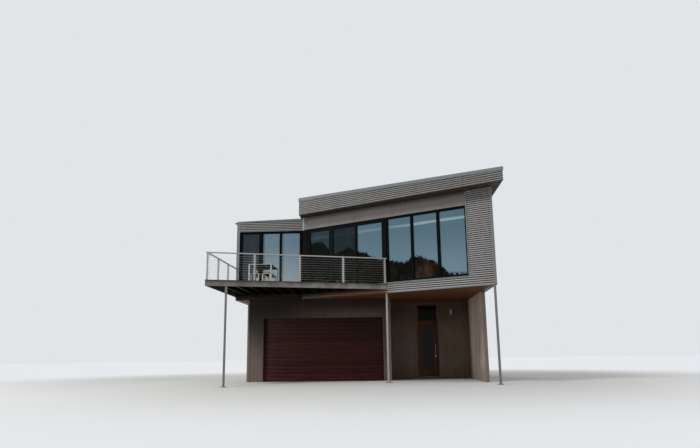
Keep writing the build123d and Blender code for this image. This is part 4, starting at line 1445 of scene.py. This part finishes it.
# Side and back windows: trims, sills and sashes
def dress_windows(name, side, bottom, top, proud):
    """Trims, sill and the two sashes of each window in a wall."""
    trims, sashes = bmesh.new(), bmesh.new()
    for low, high in on_side("side_window_frames", side, bottom, top):
        left, right, head = low.x - window_trim, high.x + window_trim, high.z + window_trim
        for x0, x1, z0, z1 in ((left, low.x, low.z, high.z), (high.x, right, low.z, high.z),
                               (left, right, high.z, head)):
            add_bar(trims, x0, x1, -proud - trim_proud, low.y, z0, z1)
        add_bar(trims, left, right, -proud - sill_proud, low.y, low.z - 0.03, low.z)
        middle, level = (low.x + high.x) / 2, (low.z + high.z) / 2
        sash_low, sash_high = low.z + sash_inset, high.z - sash_inset
        add_ring(sashes, low.x + sash_inset, middle + sash_width / 2, sash_low, sash_high, sash_width,
                 low.y + 0.012, low.y + 0.04)
        add_ring(sashes, middle - sash_width / 2, high.x - sash_inset, sash_low, sash_high,
                 sash_width * 0.8, low.y + 0.026, low.y + 0.040)
        add_bar(sashes, middle - 0.012, middle + 0.012, low.y + 0.002, low.y + 0.014,
                level - 0.07, level + 0.07)
    soften(trims, 0.0025)
    soften(sashes, fine_bevel)
    finish_piece(trims, name + "_window_trims", "trim_steel", side=side)
    finish_piece(sashes, name + "_window_sashes", "dark_aluminium", side=side)


for name, side in (("left_lower", left_lower), ("right_lower", right_lower), ("back_lower", back_lower)):
    dress_windows(name, side, 0, soffit_level, board_proud)
for name, side in (("left_upper", left_upper), ("right_upper", right_upper), ("back_upper", back_upper)):
    dress_windows(name, side, soffit_level, roof_level, rib_out)


# Front windows and sliding doors: sashes, beads, screens and handles
def insect_screen(name, material, side, low, high, y):
    """A thin woven sheet that sags a little in its frame."""
    bm = bmesh.new()
    bmesh.ops.create_grid(bm, x_segments=24, y_segments=48, size=0.5)
    for vert in bm.verts:
        u, v = vert.co.x, vert.co.y
        sag = screen_sag * math.cos(math.pi * u) * math.cos(math.pi * v)
        vert.co = (low.x + (u + 0.5) * (high.x - low.x), y + sag, low.z + (v + 0.5) * (high.z - low.z))
    thicken(bm, screen_thickness)
    finish_piece(bm, name, "dark_aluminium", material, side=side)


def dress_panes(name, side, panes, screens=()):
    """A sash and a bead round each pane, and an insect screen over the first ones."""
    bm = bmesh.new()
    for low, high in panes:
        add_ring(bm, low.x - pane_rim, high.x + pane_rim, low.z - pane_rim, high.z + pane_rim, pane_rim,
                 frame_face - 0.010, frame_face)
        add_ring(bm, low.x, high.x, low.z, high.z, bead_width, low.y - bead_depth, low.y)
    soften(bm, 0.0018)
    finish_piece(bm, name + "_sashes", "dark_aluminium", side=side)
    for i, (mesh, (low, high)) in enumerate(zip(screens, panes)):
        y = low.y - bead_depth - screen_gap
        insect_screen(f"{name}_screen_{i + 1}", mesh, side, low, high, y)
        bm = bmesh.new()
        add_ring(bm, low.x - 0.002, high.x + 0.002, low.z - 0.002, high.z + 0.002, screen_frame,
                 y - 0.006, y)
        finish_piece(bm, f"{name}_screen_frame_{i + 1}", "dark_aluminium", side=side)


def door_pulls():
    """Flush pulls on the sliding doors' meeting bars."""
    bars = []
    low, high = deck_level + 0.92, deck_level + 1.16
    for first in (1, 0):
        x = (door_panes[first][1].x + door_panes[first + 1][0].x) / 2
        bars.append((x - 0.014, x + 0.014, frame_face - 0.045, frame_face - 0.033, low, high))
        bars += [(x - 0.009, x + 0.009, frame_face - 0.035, frame_face, z - 0.009, z + 0.009)
                 for z in (low + 0.02, high - 0.02)]
    bar_piece("sliding_door_pulls", "dark_aluminium", bars, round_bevel, 2, side=wing)


dress_panes("left_window", left_front, left_panes, [left_screen_mesh])
dress_panes("wing_door", wing, door_panes, door_screen_meshes)
dress_panes("wing_window", wing, window_panes)
door_pulls()


# Garage door: sections of boards, seals and the trim round the opening
def garage_boards():
    """The garage door as sections of rounded boards on a backing sheet."""
    low, high = garage_low, garage_high
    section = (high.z - low.z) / door_sections
    board = (section - section_gap) / boards_per_section
    bm = bmesh.new()
    for i in range(door_sections):
        for j in range(boards_per_section):
            z = low.z + i * section + section_gap / 2 + j * board + door_board_gap / 2
            add_bar(bm, low.x + 0.004, high.x - 0.004, low.y, low.y + door_board_depth,
                    z, z + board - door_board_gap)
    soften(bm, round_bevel, 2)
    backing = bmesh.new()
    add_bar(backing, low.x, high.x, low.y + door_board_depth - 0.004, high.y, low.z, high.z)
    join(bm, backing)
    finish_piece(bm, "garage_door_boards", "door_timber", side=garage_front, replaced=["garage_door"])


def opening_trim(x0, x1, top, front, back, foot):
    """Jambs and a head round an opening, as bars."""
    return [(x0 - jamb_trim, x0, front, back, foot, top + jamb_trim),
            (x1, x1 + jamb_trim, front, back, foot, top + jamb_trim),
            (x0, x1, front, back, top, top + jamb_trim)]


def garage_trim():
    """The trim round the garage opening, and the door's seals."""
    x0, x1, top, face = garage_low.x, garage_high.x, garage_high.z, garage_low.y
    bar_piece("garage_opening_trim", "grooved_boards",
              opening_trim(x0, x1, top, -board_proud - 0.012, face - 0.004, 0.0),
              trim_bevel, material=garage_shaded_paint, side=garage_front)
    bar_piece("garage_door_seals", "door_timber",
              [(x0, x0 + door_seal, face - 0.012, face, 0.0, top),
               (x1 - door_seal, x1, face - 0.012, face, 0.0, top),
               (x0, x1, face - 0.012, face, top - door_seal, top),
               (x0, x1, face - 0.006, face + 0.03, 0.0, 0.018)],
              fine_bevel, material=seal_rubber, side=garage_front)


garage_boards()
garage_trim()

# Entry: trim, threshold, beads, lock and the light beside the door
leaf_low, leaf_high = extent(solids("entry_leaf")[0], entry_side)
pane_low, pane_high = extent(solids("entry_leaf_glass")[0], entry_side)


def entry_dressing():
    """The trim round the entry, and its threshold."""
    x0, x1 = entry_low.x, entry_high.x
    bar_piece("entry_opening_trim", "trim_steel",
              opening_trim(x0, x1, entry_high.z, -board_proud - 0.010, 0.01, slab_level),
              trim_bevel, material=jamb_paint, side=entry_side)
    bar_piece("entry_threshold", "concrete",
              [(x0 + 0.06, x1 - 0.06, 0.002, 0.104, slab_level, slab_level + 0.006),
               (x0 + 0.06, x1 - 0.06, -0.035, 0.002, 0.03, slab_level + 0.004)],
              fine_bevel, side=entry_side)


def leaf_dressing():
    """Beads round the leaf's glass, a lock and a bottom weather bar, all on the leaf."""
    face = leaf_low.y
    bm = bmesh.new()
    add_ring(bm, pane_low.x, pane_high.x, pane_low.z, pane_high.z, bead_width,
             pane_low.y - 0.009, pane_low.y)
    add_bar(bm, leaf_low.x + 0.02, leaf_high.x - 0.02, face - 0.016, face,
            leaf_low.z + 0.03, leaf_low.z + 0.07)
    soften(bm, fine_bevel)
    finish_piece(bm, "entry_leaf_beads", "entry_timber", side=entry_side, body="entry_door")
    bm = bmesh.new()
    x = leaf_high.x - 0.06
    for radius, depth, out, z, segments in (
            (0.026, 0.008, 0.004, lock_level, 24), (0.012, 0.014, 0.008, lock_level, 20),
            (0.016, 0.004, 0.002, lock_level + 0.1, 20), (0.016, 0.004, 0.002, lock_level + 0.5, 20)):
        add_rod(bm, radius, depth, Matrix.Translation((x, face - out, z)) @ lying, segments)
    finish_piece(bm, "entry_lock", "steel", side=entry_side, body="entry_door")


def porch_light():
    """A pale up-and-down light on the entry wall, right of the door."""
    bm = bmesh.new()
    x = entry_side.length - light_from_fin
    low, high = light_level - 0.10, light_level + 0.10
    add_bar(bm, x - 0.055, x + 0.055, -0.105, -board_proud, low, high)
    soften(bm, 0.006, 2)
    add_bar(bm, x - 0.04, x + 0.04, -board_proud - 0.02, -board_proud + 0.004, low - 0.04, high + 0.04)
    finish_piece(bm, "porch_light", "white_metal", lamp_metal, side=entry_side)


entry_dressing()
leaf_dressing()
porch_light()

# Deck: planks, their screws, post plates and bolts
deck_low, deck_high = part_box("deck_boards")
plank_count = math.ceil((deck_high.y - deck_low.y) / plank_pitch)
plank_rows = [deck_high.y - ledger_proud - i * plank_pitch for i in range(plank_count)]


def deck_outline(reach):
    """Cutting planes of the deck's plan, moved out at its free edges."""
    free = [(side.point(0, -reach), -side.into) for side in (deck_side, deck_front)]
    return free + [(side.point(0, -ledger_proud), side.into) for side in (wing, left_front)]


def deck_planks():
    """Planks with gaps, cut to the deck's plan."""
    bm = bmesh.new()
    for y in plank_rows:
        add_bar(bm, deck_low.x, deck_high.x, y - plank_width, y, deck_low.z, deck_high.z)
    keep_inside(bm, deck_outline(rim_low.x - deck_low.x), fill=True)
    soften(bm, trim_bevel)
    finish_piece(bm, "deck_planks", "deck_timber", replaced=["deck_boards"])


def deck_screws():
    """Two screws in each plank over each joist."""
    bm = bmesh.new()
    joists = sorted((extent(group)[0].x + extent(group)[1].x) / 2 for group in solids("deck_joists"))
    for joist in joists:
        for y in plank_rows:
            for across in (screw_inset, plank_width - screw_inset):
                point = Vector((joist, y - across, deck_high.z))
                if all((point - Vector(place)).dot(outward) < -0.03 for place, outward in deck_outline(0)):
                    add_rod(bm, 0.0045, 0.002, Matrix.Translation(point), 6)
    finish_piece(bm, "deck_screws", "steel")


def add_plate(bm, group, turn, level, plate):
    """A plate in the middle of a post's plan, on a level; its place is returned."""
    low, high = extent(group)
    place = Matrix.Translation(((low.x + high.x) / 2, (low.y + high.y) / 2, level + plate[2] / 2)) @ turn
    bmesh.ops.create_cube(bm, size=1, matrix=place @ Matrix.Diagonal((*plate, 1)))
    return place


def post_plates():
    """Base plates under the balustrade posts, and foot plates with bolts on the ground posts."""
    plates, bolts = bmesh.new(), bmesh.new()
    for group in solids("balustrade_posts"):
        low, high = extent(group)
        on_front = ((low + high) / 2 - deck_front.point(0)).dot(deck_front.into) < 0.12
        add_plate(plates, group, deck_front.turn() if on_front else Matrix(), low.z, base_plate)
    for group in solids("ground_posts"):
        low, high = extent(group)
        side = wing if high.x - low.x > 0.1 and low.x + high.x > 0 else deck_front
        turned = high.x - low.x > 0.095
        place = add_plate(plates, group, side.turn() if turned else Matrix(), 0, foot_plate)
        for x in (-bolt_reach, bolt_reach):
            for y in (-bolt_reach, bolt_reach):
                spot = place @ Matrix.Translation((x, y, foot_plate[2]))
                add_rod(bolts, 0.014, 0.014, spot, 6)
                add_rod(bolts, 0.008, 0.034, spot, 10)
    soften(plates, fine_bevel)
    finish_piece(plates, "post_plates", "galvanised_steel")
    finish_piece(bolts, "post_bolts", "galvanised_steel")


def rim_bolts():
    """Bolt heads along the deck's rim boards, in pairs at the joists."""
    bm = bmesh.new()
    for side, first in ((deck_front, 0.35), (deck_side, 0.4)):
        count = round((side.length - 2 * first) / bolt_spacing)
        for i in range(count + 1):
            x = first + (side.length - 2 * first) * i / count
            for z in (rim_low.z + 0.05, rim_high.z - 0.05):
                add_rod(bm, 0.011, 0.008, side.place @ Matrix.Translation((x, -0.003, z)) @ lying, 6)
    finish_piece(bm, "rim_bolts", "galvanised_steel")


def cable_fittings():
    """A swaged sleeve and a grommet at each end of every balustrade cable."""
    bm = bmesh.new()
    for node, along in (("front_cables", deck_front.along), ("side_cables", Vector((0, 1, 0)))):
        for group in solids(node):
            level = (min(point.z for point in group) + max(point.z for point in group)) / 2
            ordered = sorted(group, key=lambda point: point.dot(along))
            half = len(ordered) // 2
            for part, direction in ((ordered[:half], along), (ordered[half:], -along)):
                centre = sum(part, Vector()) / len(part)
                centre.z = level
                turn = direction.to_track_quat("Z", "Y").to_matrix().to_4x4()
                add_rod(bm, swage_radius, swage_length,
                        Matrix.Translation(centre + direction * swage_length / 2) @ turn, 8)
                cuff = Matrix.Translation(centre + direction * grommet_length / 2) @ turn
                add_rod(bm, grommet_radius, grommet_length, cuff, 10)
    finish_piece(bm, "cable_fittings", "steel")


deck_planks()
deck_screws()
post_plates()
rim_bolts()
cable_fittings()


# Furniture on the deck: slats in the place of the plain tops, on slim tube frames
def add_slats(name, low, high, along_y, replaced):
    """Rounded slats that fill a box, laid along y or along x."""
    span = (high.x - low.x) if along_y else (high.y - low.y)
    count = round((span + slat_gap) / (slat_width + slat_gap))
    pitch = (span + slat_gap) / count
    bars = []
    for i in range(count):
        a, b = i * pitch, (i + 1) * pitch - slat_gap
        plan = (low.x + a, low.x + b, low.y, high.y) if along_y else (low.x, high.x, low.y + a, low.y + b)
        bars.append((*plan, low.z, high.z))
    bar_piece(name, "slat_timber", bars, round_bevel, 2, replaced=replaced)


def add_legs(bm, low, high, leg, top):
    """Four square legs in the corners of a box."""
    for x in (low.x, high.x - leg):
        for y in (low.y, high.y - leg):
            add_bar(bm, x, x + leg, y, y + leg, low.z, top)


def add_rails(bm, low, high, width, bottom, top):
    """A flat ring of rails round a top."""
    add_bar(bm, low.x, high.x, low.y, low.y + width, bottom, top)
    add_bar(bm, low.x, high.x, high.y - width, high.y, bottom, top)
    add_bar(bm, low.x, low.x + width, low.y + width, high.y - width, bottom, top)
    add_bar(bm, high.x - width, high.x, low.y + width, high.y - width, bottom, top)


def table():
    """Slats across a slim frame on four legs, with two bearers under the slats."""
    low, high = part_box("deck_table_top")
    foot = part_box("deck_table_frame")[0]
    bm = bmesh.new()
    add_rails(bm, low, high, table_edge, high.z - 0.024, high.z)
    add_legs(bm, Vector((low.x, low.y, foot.z)), high, table_leg, high.z - 0.022)
    for share in (0.3, 0.7):
        x = low.x + (high.x - low.x) * share
        add_bar(bm, x - 0.012, x + 0.012, low.y + 0.02, high.y - 0.02, low.z - 0.022, low.z - 0.001)
    soften(bm, trim_bevel)
    finish_piece(bm, "table_frame", "white_metal", replaced=["deck_table_frame"])
    inset = Vector((table_edge + 0.003, table_edge + 0.003, 0))
    add_slats("table_slats", low + inset, high - inset, False, ["deck_table_top"])


def benches():
    """Slatted seats on tube frames."""
    frames = bmesh.new()
    for i, group in enumerate(sorted(solids("deck_benches"), key=lambda g: extent(g)[0].x)):
        low, high = extent(group)
        seat = high.z - 0.025
        add_slats(f"bench_slats_{i + 1}", Vector((low.x, low.y, seat)), high, True, ["deck_benches"])
        add_legs(frames, low, high, bench_bar, seat)
        add_rails(frames, low, high, bench_bar, seat - 0.035, seat)
    finish_piece(frames, "bench_frames", "white_metal", replaced=["deck_benches"])


table()
benches()
